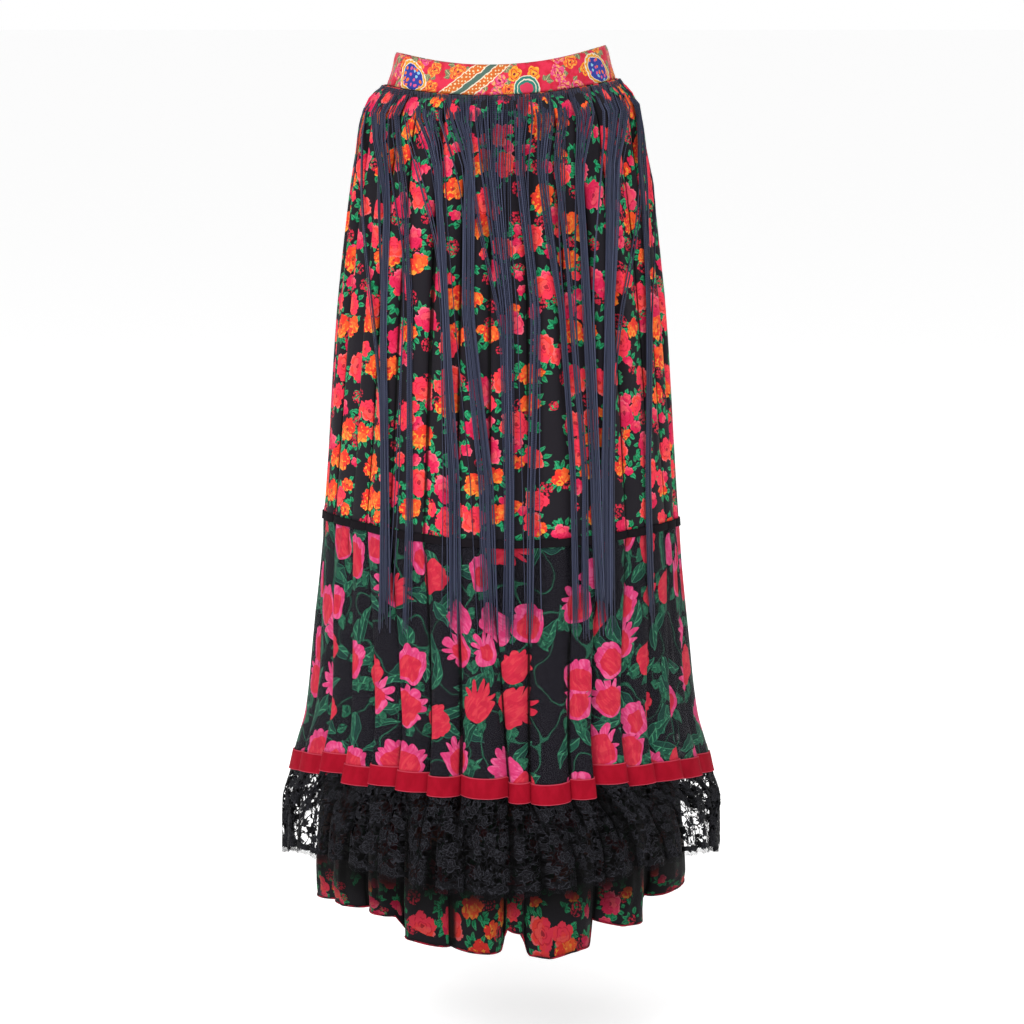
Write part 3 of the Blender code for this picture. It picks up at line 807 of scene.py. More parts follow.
def leaf_fan(cell, aim, spread, start, length, width, sides=1.0):
    """Leaves that fan out round the aim: their mask, their veins and the share of their length.

    They begin at the distance start. The polar angle is cut into sectors of the spread, and
    the nearest of the middle sectors is used, so all the leaves come from one formula.
    """
    distance = reach_of(cell.x, cell.y)
    turn = maths("WRAP", turn_of(cell.y, cell.x) - aim, math.pi, -math.pi)
    sector = maths("MAXIMUM", maths("MINIMUM", maths("ROUND", turn / spread), sides), -sides)
    turn = turn - sector * spread
    reach = length * (1.0 - size_of(sector) * 0.16)
    along = distance * wave(turn) - start
    across = distance * sine(turn) + along * along * 9.0 * sector
    mask, share = leaf_mask(along, across, reach, width)
    rib = is_below(size_of(across), 0.00032)
    veins = is_above(sine((along - size_of(across) * 1.2) * 3000), 0.80)
    return mask, either(rib, veins * 0.6), share


def rose_shape(cell, radius, petals, turned_by=0.0):
    """Flower of round petals: distance over an edge with a cusp between petals, and the turn.

    Edge = radius x (0.68 + 0.32 x root of the size of cosine(petals / 2 x turn)), a little oval.
    """
    turn = turn_of(cell.y, cell.x)
    lobe = maths("SQRT", size_of(wave(turn * (petals / 2.0) + cell.third * 6.28 + turned_by)))
    edge = 0.68 + lobe * 0.32 + wave(turn * 2.0 + cell.second * 6.28) * 0.13
    return cell.distance / (edge * radius), turn


def build_rose_print(name):
    """Roses, leaf fans, berry sprigs and a dark ground on flat-cloth coordinates."""
    tree, given, out = new_group(
        name,
        {"Cloth": "vector", "Spacing": "number", "Bare": "number", "Ground": "colour",
         "Coral": "colour", "Orange": "colour", "Amber": "colour", "Leaf": "colour"},
        {"Colour": "colour", "Inked": "number"},
    )
    x, y, _ = split(given["Cloth"])
    x, y = warped(x, y, 0.008, 0.0036, 2.0, 0.55)
    spacing, bare = given["Spacing"], given["Bare"]
    rose = cells(x, y, spacing, 0.80, 1.0)
    small = cells(x, y, spacing * 0.62, 0.9, 11.7)
    twig = cells(x, y, 0.0210, 0.85, 15.3)
    big_radius = spacing * 0.27 + rose.first * spacing * 0.14
    small_radius = spacing * 0.14 + small.first * spacing * 0.09
    big_shown, small_shown = is_above(rose.third, bare), is_above(small.third, bare * 0.5 + 0.475)
    around = rose.first * 19.0

    colour, inked = given["Ground"], x * 0.0
    patch = ramp(noise(x, y, 0.005), 0.42, 0.58)
    leaf_length, leaf_width = 0.0108, 0.0026
    for cell, aim, spread, start, shown in (
        (twig, twig.first * 6.28, 1.05, 0.0008, is_above(twig.second, 0.50)),
        (small, small.second * 6.28, 0.95, small_radius * 0.75, is_above(small.third, 0.48)),
        (rose, around, 0.62, big_radius * 0.80, big_shown),
        (rose, around + 2.5, 0.55, big_radius * 0.80, is_above(rose.second, 0.30) * big_shown),
    ):
        fan, rib, share = leaf_fan(cell, aim, spread, start, leaf_length, leaf_width)
        fan = fan * shown
        colour = mixed(fan, colour, painted(
            given["Leaf"],
            (patch, shade(44, 170, 112)),
            (ramp(share, 0.45, 1.0) * 0.45, shade(110, 200, 144)),
            (either(rib, is_below(share, 0.15)) * 0.9, shade(6, 50, 36)),
        ))
        inked = either(inked, fan)

    berry = cells(x, y, 0.0031, 0.8, 7.3)
    sprig = cells(x, y, spacing * 0.75, 0.85, 3.9)
    berries = both(is_below(berry.distance, 0.0009 + berry.second * 0.0007),
                   is_below(sprig.distance, 0.0050 + sprig.first * 0.0040), is_above(sprig.second, 0.40))
    colour = mixed(berries, colour, mixed(berry.first, shade(168, 24, 50), shade(226, 48, 72)))
    inked = either(inked, berries)

    for cell, radius, shown, warm_from in (
        (small, small_radius, small_shown, 0.76), (rose, big_radius, big_shown, 0.66),
    ):
        reach, _ = rose_shape(cell, radius, 5.0)
        inner, _ = rose_shape(cell, radius * 0.62, 5.0, 1.4)
        core, _ = rose_shape(cell, radius * 0.30, 3.0, 0.7)
        flower = is_below(reach + (noise(x, y, 0.0036, 2.0) - 0.5) * 0.40, 1.0) * shown
        warm = is_above(cell.second, warm_from)
        lit_from = cell.third * 9.0
        slope = (cell.y * wave(lit_from) + cell.x * sine(lit_from)) / radius
        light = ramp(slope + noise(x, y, 0.005) * 1.6 - 0.8, -0.45, 0.55)
        glow = ramp(noise(x + 3.0, y, 0.0040, 1.0) - cell.y / radius * 0.16, 0.58, 0.64)
        line = either(near(inner, 1.0, 0.075), near(core, 1.0, 0.15))
        line = line * ramp(noise(x + 2.0, y, 0.005, 1.0), 0.38, 0.46)
        cool_petal = painted(
            mixed(light, given["Coral"], shade(255, 70, 60)),
            (is_above(cell.third, 0.66), mixed(light, shade(220, 34, 82), shade(244, 66, 104))),
            (both(is_above(reach, 0.86), is_above(slope, 0.35)) * 0.35, shade(255, 150, 160)),
        )
        warm_petal = painted(mixed(light, shade(238, 54, 46), given["Orange"]), (glow, given["Amber"]))
        colour = mixed(flower, colour, painted(
            mixed(warm, cool_petal, warm_petal),
            (line * mix_number(warm, 0.60, 0.50), mixed(warm, shade(190, 18, 52), shade(214, 40, 34))),
            (both(is_below(inner, 0.93), is_above(slope, 0.05)) * 0.35,
             mixed(warm, shade(255, 110, 104), shade(255, 140, 62))),
            (both(is_below(core, 0.55), is_above(cell.first, 0.5)) * 0.7, shade(120, 16, 40)),
        ))
        inked = either(inked, flower)
    feed(out["Colour"], colour)
    feed(out["Inked"], inked)
    return tree


def painted_leaf(base, share, along, across, width, tone, side):
    """Dark leaf with a lit half, slanting strokes, a thin rib and a light brushed edge."""
    stroke = noise(along * 0.20 + side * 40.0, across, 0.0030, 0.0)
    lit = is_above(across * (side - 0.5), 0.0)
    vein = wave((along - size_of(across) * 1.4) * 640.0)
    edge = leaf_edge(share, width) - size_of(across)
    return painted(
        mixed(tone, base, shade(30, 66, 60)),
        (lit * 0.55, shade(36, 98, 76)),
        (both(is_above(vein, 0.70), lit, is_above(stroke, 0.47)) * 0.85, shade(84, 168, 124)),
        (is_below(size_of(across), 0.00045) * 0.7, shade(84, 156, 120)),
        (is_below(edge, 0.0007) * 0.7, shade(58, 128, 102)),
    )


def rounded_box(x, y):
    """Distance in a superellipse of power 3: 1 on the edge of a rounded box of half size 1."""
    return maths("POWER", x * x * x + y * y * y, 1.0 / 3.0)


def build_painted_flowers(name):
    """Large pink flowers with red hearts over dark painted leaves, for the chiffon."""
    tree, given, out = new_group(
        name,
        {"Cloth": "vector", "Spacing": "number", "Ground": "colour", "Petal": "colour",
         "Heart": "colour", "Leaf": "colour"},
        {"Colour": "colour", "Inked": "number"},
    )
    x, y, _ = split(given["Cloth"])
    x, y = warped(x, y, 0.022, 0.0080, 1.0, 0.5)
    spacing = given["Spacing"]
    cell = cells(x, y, spacing, 0.84, 4.4)
    size = spacing * (0.35 + 0.10 * cell.third)
    across, up = turned(cell, (cell.first - 0.5) * 2.6)

    colour, inked = given["Ground"], x * 0.0
    for gap, shift, length, width, bare in (
        (0.044, 2.3, 0.044, 0.0088, 0.54),
        (0.050, 14.1, 0.052, 0.0066, 0.52),
        (0.038, 8.9, 0.034, 0.0078, 0.72),
    ):
        spot = cells(x, y, gap, 0.9, shift)
        along, beside = turned(spot, spot.first * 6.28)
        beside = beside + along * along * 20.0 * (spot.second - 0.5)
        mask, share = leaf_mask(along + length / 2, beside, length, width)
        mask = mask * is_above(spot.third, bare)
        leaf = painted_leaf(given["Leaf"], share, along, beside, width, spot.first, spot.second)
        colour = mixed(mask, colour, leaf)
        inked = either(inked, mask)

    stem = near(noise(x + 6.0, y, 0.050, 0.0), 0.5, 0.010)
    under = cell._replace(x=across, y=up)
    pair, rib, _ = leaf_fan(under, -1.57, 0.85, size * 0.72, 0.0240, 0.0064)
    stroke = both(is_above(noise(x, y + 9.0, 0.005, 0.0), 0.44), is_above(rib, 0.3))
    pair_colour = painted(given["Leaf"], (ramp(noise(x, y, 0.008, 1.0), 0.44, 0.54), shade(36, 98, 74)),
                          (stroke * 0.75, shade(86, 168, 126)))
    colour = painted(colour, (stem, mixed(noise(x, y, 0.004), shade(32, 80, 66), shade(54, 116, 88))),
                     (pair, pair_colour))

    reach = rounded_box(size_of(across) / 0.82, size_of(up))
    turn = turn_of(across, up)
    top = ramp(wave(turn + sine(cell.third * 12.0) * 0.5), 0.0, 0.60)
    fingers = turn * (1.4 + cell.second * 0.6) + cell.first * 7.0
    fingers = fingers + (noise(turn * 0.5 + cell.first * 30.0, cell.second, 0.4, 1.0) - 0.5) * 1.2
    tooth = 1.0 - size_of(sine(fingers * math.pi))
    spiky = ramp(cell.second, 0.50, 0.95, 0.10, 0.58)
    outline = size * (0.88 + top * (spiky * 0.40 - spiky * tooth))
    petals = is_below(reach, outline) * is_above(cell.second, 0.05)
    streak = noise(across * 1.0, up * 0.22 + cell.first * 2.0, 0.0030, 2.0)
    folded = both(near(tooth, 0.84, 0.06), is_above(top, 0.4), is_above(reach / outline, 0.45))
    petal = painted(
        given["Petal"],
        (ramp(streak, 0.48, 0.58) * 0.70, shade(255, 118, 170)),
        (ramp(noise(x, y, 0.012, 1.0), 0.52, 0.60) * 0.6, shade(222, 54, 116)),
        (folded * 0.6, shade(190, 34, 90)),
    )

    heart_reach = rounded_box(size_of(across) / (size * 0.54), size_of(up / size + 0.14) / 0.60)
    wobble = (noise(x, y + 7.0, 0.012, 1.0) - 0.5) * 0.45
    reach_of_red = ramp(cell.third, 0.0, 1.0, 0.80, 1.10)
    reach_of_red = mix_number(is_below(cell.first, 0.24), reach_of_red, 3.0)
    reach_of_red = mix_number(is_above(cell.first, 0.88), reach_of_red, 0.0)
    heart = painted(
        given["Heart"],
        (ramp(streak, 0.50, 0.58) * 0.45, shade(246, 84, 90)),
        (ramp(noise(x, y + 2.0, 0.010, 0.0), 0.54, 0.60) * 0.5, shade(204, 32, 64)),
    )
    flower = mixed(is_below(heart_reach + wobble, reach_of_red), petal, heart)
    feed(out["Colour"], mixed(petals, colour, flower))
    feed(out["Inked"], either(either(inked, pair), petals))
    return tree


def build_scarf_print(name):
    """A made-up scarf border: a flowered red ground, slanting braids and blue leaf shapes."""
    tree, given, out = new_group(name, {"Cloth": "vector"}, {"Colour": "colour"})
    x, y, _ = split(given["Cloth"])
    x = x + (noise(x, y, 0.007, 1.0) - 0.5) * 0.0030
    y = y + (noise(x, y + 6.0, 0.007, 1.0) - 0.5) * 0.0030
    repeat = maths("WRAP", x, 0.235, 0.0)
    cream = shade(250, 236, 206)

    leaf = cells(x, y, 0.0190, 0.9, 2.0)
    fan, rib, _ = leaf_fan(leaf, leaf.first * 6.28, 1.0, 0.001, 0.0098, 0.0030)
    rose = cells(x, y, 0.0235, 0.7, 6.0)
    reach, turn = rose_shape(rose, 0.0078 + rose.first * 0.0028, 5.0)
    petal = painted(
        mixed(is_above(rose.first, 0.45), shade(255, 150, 40), shade(240, 84, 140)),
        (is_above(rose.second, 0.70), shade(255, 110, 52)),
        (ramp(noise(x, y, 0.0036), 0.50, 0.56) * 0.6, shade(255, 204, 84)),
        (near(reach - 0.55, wave(turn * 3.0) * 0.12, 0.06), shade(206, 40, 60)),
        (is_below(reach, 0.16), shade(140, 36, 56)),
    )
    ground = painted(
        mixed(ramp(noise(x, y, 0.014), 0.4, 0.6), shade(234, 50, 82), shade(216, 36, 62)),
        (fan, mixed(rib, shade(110, 118, 84), shade(206, 200, 150))),
        (is_below(reach, 1.0), petal),
    )

    slant = repeat - y * 1.15
    dot = cells(x, y, 0.0042, 0.4, 1.0)
    braid = painted(
        mixed(noise(x, y, 0.01), shade(232, 126, 52), shade(214, 98, 44)),
        (is_below(dot.distance, 0.0010), shade(250, 226, 176)),
        (both(is_above(slant, 0.146), is_below(slant, 0.155)), shade(86, 116, 104)),
    )
    for edge in (0.1295, 0.1450, 0.1560, 0.1705):
        braid = mixed(near(slant, edge, 0.0008), braid, shade(246, 236, 214))
    ground = mixed(both(is_above(slant, 0.128), is_below(slant, 0.172)), ground, braid)

    drop_x, drop_y = repeat - 0.070, y + 0.004 + (repeat - 0.070) * 0.25
    drop = maths("SQRT", drop_x * drop_x + drop_y * drop_y * (1.6 + drop_x * 26.0))
    speck = cells(x, y, 0.0062, 0.8, 9.0)
    speck_colour = painted(
        mixed(is_above(speck.first, 0.5), shade(255, 120, 60), shade(238, 96, 150)),
        (is_above(speck.second, 0.66), shade(150, 206, 236)),
    )
    blue = painted(mixed(noise(x, y, 0.012), shade(56, 74, 176), shade(40, 56, 150)),
                   (is_below(speck.distance, 0.0018), speck_colour))
    scallop = wave(turn_of(drop_y, drop_x) * 18.0) * 0.0007
    ring_x, ring_y = repeat - 0.208, y + 0.012
    ring = reach_of(ring_x, ring_y)
    feed(out["Colour"], painted(
        ground,
        (is_below(drop, 0.0215), cream),
        (is_below(drop + scallop, 0.0200), shade(244, 170, 46)),
        (is_below(drop, 0.0172), shade(250, 240, 220)),
        (is_below(drop, 0.0164), blue),
        (is_below(ring, 0.0150), shade(240, 232, 206)),
        (is_below(ring, 0.0138), shade(52, 132, 118)),
        (near(ring, 0.0105, 0.0006), shade(240, 232, 206)),
        (is_below(ring, 0.0070), shade(226, 60, 92)),
    ))
    return tree


def build_weave(name):
    """Plain weave: threads over and under on flat-cloth coordinates, with uneven yarns."""
    tree, given, out = new_group(name, {"Cloth": "vector", "Thread": "number"},
                                 {"Height": "number", "Shadow": "number"})
    x, y, _ = split(given["Cloth"])
    turns = given["Thread"]
    across, up = x / turns, y / turns
    warp = size_of(sine(across * math.pi))
    weft = size_of(sine(up * math.pi))
    over = sine((maths("FLOOR", across) + maths("FLOOR", up)) * math.pi + 1.5708)
    crossing = ramp(over, -0.2, 0.2)
    height = warp * crossing + weft * (1.0 - crossing)
    slub = noise(x * 0.12, y, 0.0014, 1.0) * 0.5 + noise(x, y * 0.12, 0.0014, 1.0) * 0.5
    feed(out["Height"], height * 0.7 + slub * 0.6)
    feed(out["Shadow"], ramp(height, 0.15, 0.8))
    return tree


def build_velvet_pile(name):
    """Short pile: brushed patches, fine grain and woven edges where the pile stops."""
    tree, given, out = new_group(
        name, {"Cloth": "vector", "Height": "number", "Edge": "number"},
        {"Brushed": "number", "Grain": "number", "Selvedge": "number"})
    x, y, _ = split(given["Cloth"])
    feed(out["Brushed"], ramp(noise(x, y * 0.6, 0.012, 3.0), 0.32, 0.68))
    feed(out["Grain"], noise(x, y, 0.0005, 3.0, 0.7))
    from_edge = given["Height"] * 0.5 - size_of(y)
    feed(out["Selvedge"], is_below(from_edge, given["Edge"]))
    return tree


def build_lace_threads(name):
    """Lace: floral patches of close threads in an open net, with raised outline cords.

    Threads lie where the distance to the edges of scattered cells is small. The net has large
    cells, the patches small ones, and a third, warped set of edges gives the outline cords.
    """
    tree, given, out = new_group(name, {"Cloth": "vector", "Length": "number"},
                                 {"Thread": "number", "Cord": "number", "Height": "number"})
    x, y, _ = split(given["Cloth"])
    bend_x = x + (noise(x, y, 0.007, 1.0) - 0.5) * 0.007
    bend_y = y + (noise(x + 4.0, y, 0.007, 1.0) - 0.5) * 0.007
    net = is_below(cell_edges(bend_x, bend_y * 0.72, 0.0086, 0.95), 0.00066)
    close = is_below(cell_edges(x, y, 0.0016, 0.6), 0.00042)
    flower = cells(bend_x, bend_y, 0.019, 0.8, 3.0)
    turn = turn_of(flower.y, flower.x) * 5.0 + flower.first * 6.28
    reach = flower.distance / (0.0056 * (1.0 + wave(turn) * 0.26))
    patch = is_below(reach, 1.0)
    sprays = is_above(noise(bend_x + 5.0, bend_y, 0.0068, 1.0), 0.67)
    border = near(y + given["Length"], 0.009, 0.0030)
    solid = either(either(patch, sprays), border)
    eyes = near(reach, 0.62, 0.06) * is_above(wave(turn * 2.0), 0.0)
    outline = either(near(reach, 1.0, 0.09), near(reach, 0.42, 0.06))
    scribble = near(noise(bend_x, bend_y * 1.6, 0.0046), 0.5, 0.012)
    loops = near(noise(bend_x + 9.0, bend_y, 0.0085, 1.0), 0.5, 0.010)
    cord = either(either(outline, scribble * 0.7), loops)
    lash_zone = is_below(y + given["Length"], 0.0050)
    lashes = is_below(size_of(sine((x + wave(y * 900.0) * 0.0003) * 3400.0)), 0.34)
    filled = either(solid * (1.0 - eyes), solid * close)
    body = either(either(net, filled), either(outline, loops))
    feed(out["Thread"], mix_number(lash_zone, body, lashes))
    feed(out["Cord"], cord)
    feed(out["Height"], body * 0.4 + cord * 0.6 + noise(x, y, 0.0008) * 0.3)
    return tree


# Materials

def uv_wire(tree, name):
    """The wire of one of the UV maps."""
    node = tree.nodes.new("ShaderNodeUVMap")
    node.uv_map = name
    return Wire(node.outputs[0])


def new_material(name):
    """A material with its node tree and the wire of its flat-cloth coordinates."""
    made = bpy.data.materials.new(name)
    made.use_nodes = True
    return made, made.node_tree, uv_wire(made.node_tree, "Cloth")


def shade_with(material, **values):
    """Feeds the sockets of the material's Principled shader, named with underscores."""
    shader = material.node_tree.nodes["Principled BSDF"]
    for title, value in values.items():
        feed(shader.inputs[title.replace("_", " ")], value)
    return material


def bump_from(height, distance, strength):
    values = {"Height": height, "Distance": distance, "Strength": strength}
    return Wire(new_node("ShaderNodeBump", values).outputs[0])


def painted_crease_shade(colour, valley, start, end, low):
    """Painted shade: the colour, down to its share low where the map Folds shows a deep crease."""
    return darkened(colour, ramp(valley, start, end, 1.0, 0.0), low)


def printed_cloth(name, printed, sizes, roughness, sheen, sheer=1.0, shaded_above=None, dye_and_shade=1.0):
    """A woven cloth with a print: printed(tree, cloth) gives its colour and inked mask.

    Painted shade darkens it in the creases, and a painted shadow darkens it above shaded_above,
    where the flounce covers it. The last argument, below 1, darkens it all over: a deeper dye,
    and on the underskirt painted shade.
    """
    made, tree, cloth = new_material(name)
    found = printed(tree, cloth)
    weave = placed(tree, group_called("Plain weave", build_weave), Cloth=cloth, Thread=sizes.thread)
    x, y, _ = split(cloth)
    worn = noise(x, y, 0.03, 3.0)
    valley, height, _ = split(uv_wire(tree, "Folds"))
    colour = darkened(found["Colour"], weave["Shadow"], 0.80)
    # Painted shade: darker in the creases that the map Folds shows
    colour = painted_crease_shade(colour, valley, 0.05, 0.50, 0.08)
    if shaded_above is not None:
        # Painted shadow above shaded_above, under the flounce, and deeper painted shade in its creases
        hidden = ramp(height, shaded_above - 0.034, shaded_above + 0.012, 1.0, 0.0)
        colour = painted_crease_shade(darkened(colour, hidden, 0.03), valley, 0.02, 0.30, 0.25)
    # Darkened all over by this share: a deeper dye, and on the underskirt painted shade
    if dye_and_shade < 1.0:
        colour = darkened(colour, worn * 0.0, dye_and_shade)
    shade_with(
        made,
        Base_Color=darkened(colour, worn, 0.85),
        Roughness=ramp(worn, 0.2, 0.8, roughness - 0.06, roughness + 0.08),
        Normal=bump_from(weave["Height"], 0.00012, 0.5),
        Sheen_Weight=sheen, Sheen_Roughness=0.5, Specular_IOR_Level=0.10,
    )
    if sheer < 1.0:
        shade_with(made, Alpha=ramp(found["Inked"], 0.0, 1.0, sheer, min(1.0, sheer + 0.08)))
    return made


def rose_cloth(name, sizes, colours, bare=0.05, shaded_above=None, dye_and_shade=1.0):
    """The rose print, with the given share of its roses left out."""
    def printed(tree, cloth):
        return placed(tree, group_called("Rose print", build_rose_print), Cloth=cloth,
                      Spacing=sizes.rose_spacing, Bare=bare, Ground=colours.ground, Coral=colours.coral,
                      Orange=colours.orange, Amber=colours.amber, Leaf=colours.leaf)
    return printed_cloth(name, printed, sizes, 0.75, 0.03, shaded_above=shaded_above, dye_and_shade=dye_and_shade)


def chiffon_cloth(sizes, colours):
    def printed(tree, cloth):
        group = group_called("Painted flowers", build_painted_flowers)
        return placed(tree, group, Cloth=cloth, Spacing=sizes.flower_spacing, Ground=colours.chiffon,
                      Petal=colours.pink, Heart=colours.blotch, Leaf=colours.dark_leaf)
    return printed_cloth("Sheer black chiffon", printed, sizes, 0.68, 0.03, sheer=0.80, dye_and_shade=0.82)


def scarf_cloth(sizes):
    def printed(tree, cloth):
        return placed(tree, group_called("Scarf border", build_scarf_print), Cloth=cloth)
    return printed_cloth("Printed scarf cloth", printed, sizes, 0.50, 0.08, dye_and_shade=0.88)


def velvet(name, base, light, edge_colour, height, edge):
    """Velvet whose pile lies this way and that, with thin woven edges."""
    made, tree, cloth = new_material(name)
    group = group_called("Velvet pile", build_velvet_pile)
    pile = placed(tree, group, Cloth=cloth, Height=height, Edge=edge)
    valley, _, _ = split(uv_wire(tree, "Folds"))
    colour = darkened(mixed(pile["Brushed"] * 0.55, base, light), pile["Grain"], 0.72)
    # Painted shade: darker in the creases that the map Folds shows
    colour = painted_crease_shade(colour, valley, 0.05, 0.6, 0.20)
    return shade_with(
        made,
        Base_Color=mixed(pile["Selvedge"], colour, edge_colour),
        Roughness=ramp(pile["Grain"], 0.2, 0.8, 0.82, 0.95),
        Normal=bump_from(pile["Grain"], 0.00025, 0.5),
        Specular_IOR_Level=0.06,
    )


def lace_cloth(colours):
    made, tree, cloth = new_material("Black lace")
    lace = placed(tree, group_called("Lace threads", build_lace_threads), Cloth=cloth, Length=LACE_LENGTH)
    x, y, _ = split(cloth)
    valley, _, _ = split(uv_wire(tree, "Folds"))
    colour = mixed(ramp(noise(x, y, 0.004, 3.0), 0.35, 0.7), shade(9, 9, 11), colours.lace)
    # Raised cords lighter grey: a painted sheen of their threads
    colour = mixed(lace["Cord"] * 0.42, colour, colours.cord)
    return shade_with(
        made,
        # Painted shade: darker in the creases that the map Folds shows
        Base_Color=painted_crease_shade(colour, valley, 0.04, 0.5, 0.12),
        Roughness=ramp(lace["Cord"], 0.0, 1.0, 0.7, 0.5),
        Alpha=lace["Thread"],
        Normal=bump_from(lace["Height"], 0.0002, 0.6),
        Specular_IOR_Level=0.05,
    )


def yarn_material(colours):
    """Two-ply yarn: slanting ridges round the strand, each strand a little different, with painted
    shade in the grooves between the plies and a painted highlight along some strands.
    """
    made, _, cloth = new_material("Navy yarn")
    round_it, along, _ = split(cloth)
    strand = maths("FLOOR", round_it)
    ply = wave(round_it * 2.0 * math.tau + along * 2600.0)
    tone = ramp(noise(strand, along * 0.02, 0.7, 1.0), 0.3, 0.7)
    # Lighter patches along some strands: a painted highlight
    painted_highlight = ramp(noise(strand + 40.0, along * 0.01, 0.6, 0.0), 0.55, 0.7) * 0.5
    colour = painted(mixed(tone, colours.yarn, shade(38, 43, 66)), (painted_highlight, shade(88, 95, 126)))
    return shade_with(
        made,
        # Painted shade in the grooves between the plies
        Base_Color=darkened(colour, ramp(ply, -0.8, 0.4), 0.62),
        Roughness=ramp(ply, -1.0, 1.0, 0.62, 0.46),
        Normal=bump_from(ply, 0.0002, 0.6),
        Sheen_Weight=0.08, Sheen_Roughness=0.4, Specular_IOR_Level=0.30,
    )


def hem_thread():
    """Close stitches over a dark rolled edge."""
    made, _, cloth = new_material("Rolled hem")
    x, y, _ = split(cloth)
    stitch = wave(x * 3800.0 + y * 1500.0)
    colour = mixed(ramp(noise(x, y, 0.016, 1.0), 0.44, 0.56), shade(34, 22, 28), shade(158, 26, 48))
    return shade_with(
        made,
        Base_Color=darkened(colour, ramp(stitch, -0.8, 0.2), 0.55),
        Roughness=ramp(stitch, -1.0, 1.0, 0.8, 0.6),
        Normal=bump_from(stitch, 0.0002, 0.6),
        Specular_IOR_Level=0.15,
    )


# Pieces of the skirt

class SKIRT_OT_waistband(bpy.types.Operator):
    """Adds the folded, printed waistband with its rolled edges"""

    bl_idname = "skirt.waistband"
    bl_label = "Waistband"

    def execute(self, context):
        sizes = context.scene.skirt_sizes
        z = heights(BAND_BOTTOM, BAND_TOP, 15)
        share = (z[:, None] - BAND_BOTTOM) / (BAND_TOP - BAND_BOTTOM)
        halves = []
        for half in ("front", "back"):
            angle = np.linspace(-np.pi / 2, np.pi / 2, BAND_COLUMNS)[None, :] + 0 * z[:, None]
            halves.append(tube_half(OUTER, z, angle, band_inset(half, angle, share), half))
        points = round_the_skirt(*halves)
        made = tube_object("waistband", points, *flat_map(points, 0.018), scarf_cloth(sizes), sizes.band)
        finish_piece(made, "waistband")
        return {"FINISHED"}


class SKIRT_OT_upper_tier(bpy.types.Operator):
    """Adds the gathered upper tier with the rose print"""

    bl_idname = "skirt.upper_tier"
    bl_label = "Upper Tier"

    def execute(self, context):
        sizes, colours = context.scene.skirt_sizes, context.scene.skirt_colours
        points = skirt_tube("upper", heights(JOIN, BAND_BOTTOM - SEAM_GAP, 66), sizes.finer)
        cloth = rose_cloth("Rose crepe", sizes, colours)
        made = tube_object("upper_tier", points, *flat_map(points), cloth, sizes.cloth)
        finish_piece(made, "upper_tier")
        return {"FINISHED"}


class SKIRT_OT_lower_tier(bpy.types.Operator):
    """Adds the sheer lower tier with its pressed pleats and painted flowers"""

    bl_idname = "skirt.lower_tier"
    bl_label = "Lower Tier"

    def execute(self, context):
        sizes, colours = context.scene.skirt_sizes, context.scene.skirt_colours
        points = skirt_tube("lower", heights(LACE_JOIN, JOIN - SEAM_GAP, 46), sizes.finer)
        cloth = chiffon_cloth(sizes, colours)
        made = tube_object("lower_tier", points, *flat_map(points, 5.0), cloth, sizes.cloth)
        finish_piece(made, "lower_tier")
        return {"FINISHED"}


class SKIRT_OT_velvet_trims(bpy.types.Operator):
    """Adds the black velvet tape and the red velvet ribbon over the two joins"""

    bl_idname = "skirt.velvet_trims"
    bl_label = "Velvet Trims"

    def execute(self, context):
        sizes, colours = context.scene.skirt_sizes, context.scene.skirt_colours
        tape_rows, ribbon_rows = LOWER_ROWS.copy(), LOWER_ROWS.copy()
        tape_rows[:, 0] += TAPE_HEIGHT
        ribbon_rows[-1] = (LACE_JOIN - RIBBON_HEIGHT, 0.0, 1.0, 1.0)
        black = velvet("Black velvet", colours.tape, shade(26, 23, 27), shade(24, 21, 25),
                       TAPE_HEIGHT, 0.0006)
        red = velvet("Red velvet", colours.ribbon, shade(170, 18, 42), shade(186, 60, 78),
                     RIBBON_HEIGHT, 0.0011)
        shade_with(red, Sheen_Weight=0.06, Sheen_Roughness=0.35, Sheen_Tint=(0.9, 0.25, 0.3, 1.0))
        for name, kind, middle, height, rows, count, cloth, flat, under in (
            ("velvet_tape", "upper", JOIN, TAPE_HEIGHT, tape_rows, 6, black, (1.26, 0.010), "upper_tier"),
            ("velvet_ribbon", "lower", LACE_JOIN, RIBBON_HEIGHT, ribbon_rows, 9, red,
             (1.90, RIBBON_HEIGHT), "lower_tier"),
        ):
            z = heights(middle - height / 2, middle + height / 2, count)
            points = skirt_tube(kind, z, sizes.finer, rows)
            points = points + outward(points) * (sizes.velvet + TRIM_GAP)
            made = tube_object(name, points, *flat_map(points, height / 2), cloth, sizes.velvet)
            finish_piece(made, name)
        return {"FINISHED"}


class SKIRT_OT_lace_flounce(bpy.types.Operator):
    """Adds the gathered lace flounce with its open net and threaded, scalloped edge"""

    bl_idname = "skirt.lace_flounce"
    bl_label = "Lace Flounce"

    def execute(self, context):
        sizes, colours = context.scene.skirt_sizes, context.scene.skirt_colours
        z = heights(LACE_HEM, LACE_JOIN, 30)
        points = skirt_tube("lace", z, sizes.finer)
        u, v = flat_map(points)
        share = np.clip((LACE_HEM + SCALLOP_RISE - z) / SCALLOP_RISE, 0, 1)[:, None]
        points[..., 2] -= share * SCALLOP_DEPTH * np.abs(np.sin(u[:, :-1] * math.pi / SCALLOP_WIDTH))
        v = v * LACE_LENGTH / -v.min()
        made = tube_object("lace_flounce", points, u, v, lace_cloth(colours), LACE_THICKNESS)
        finish_piece(made, "lace_ruffle")
        return {"FINISHED"}


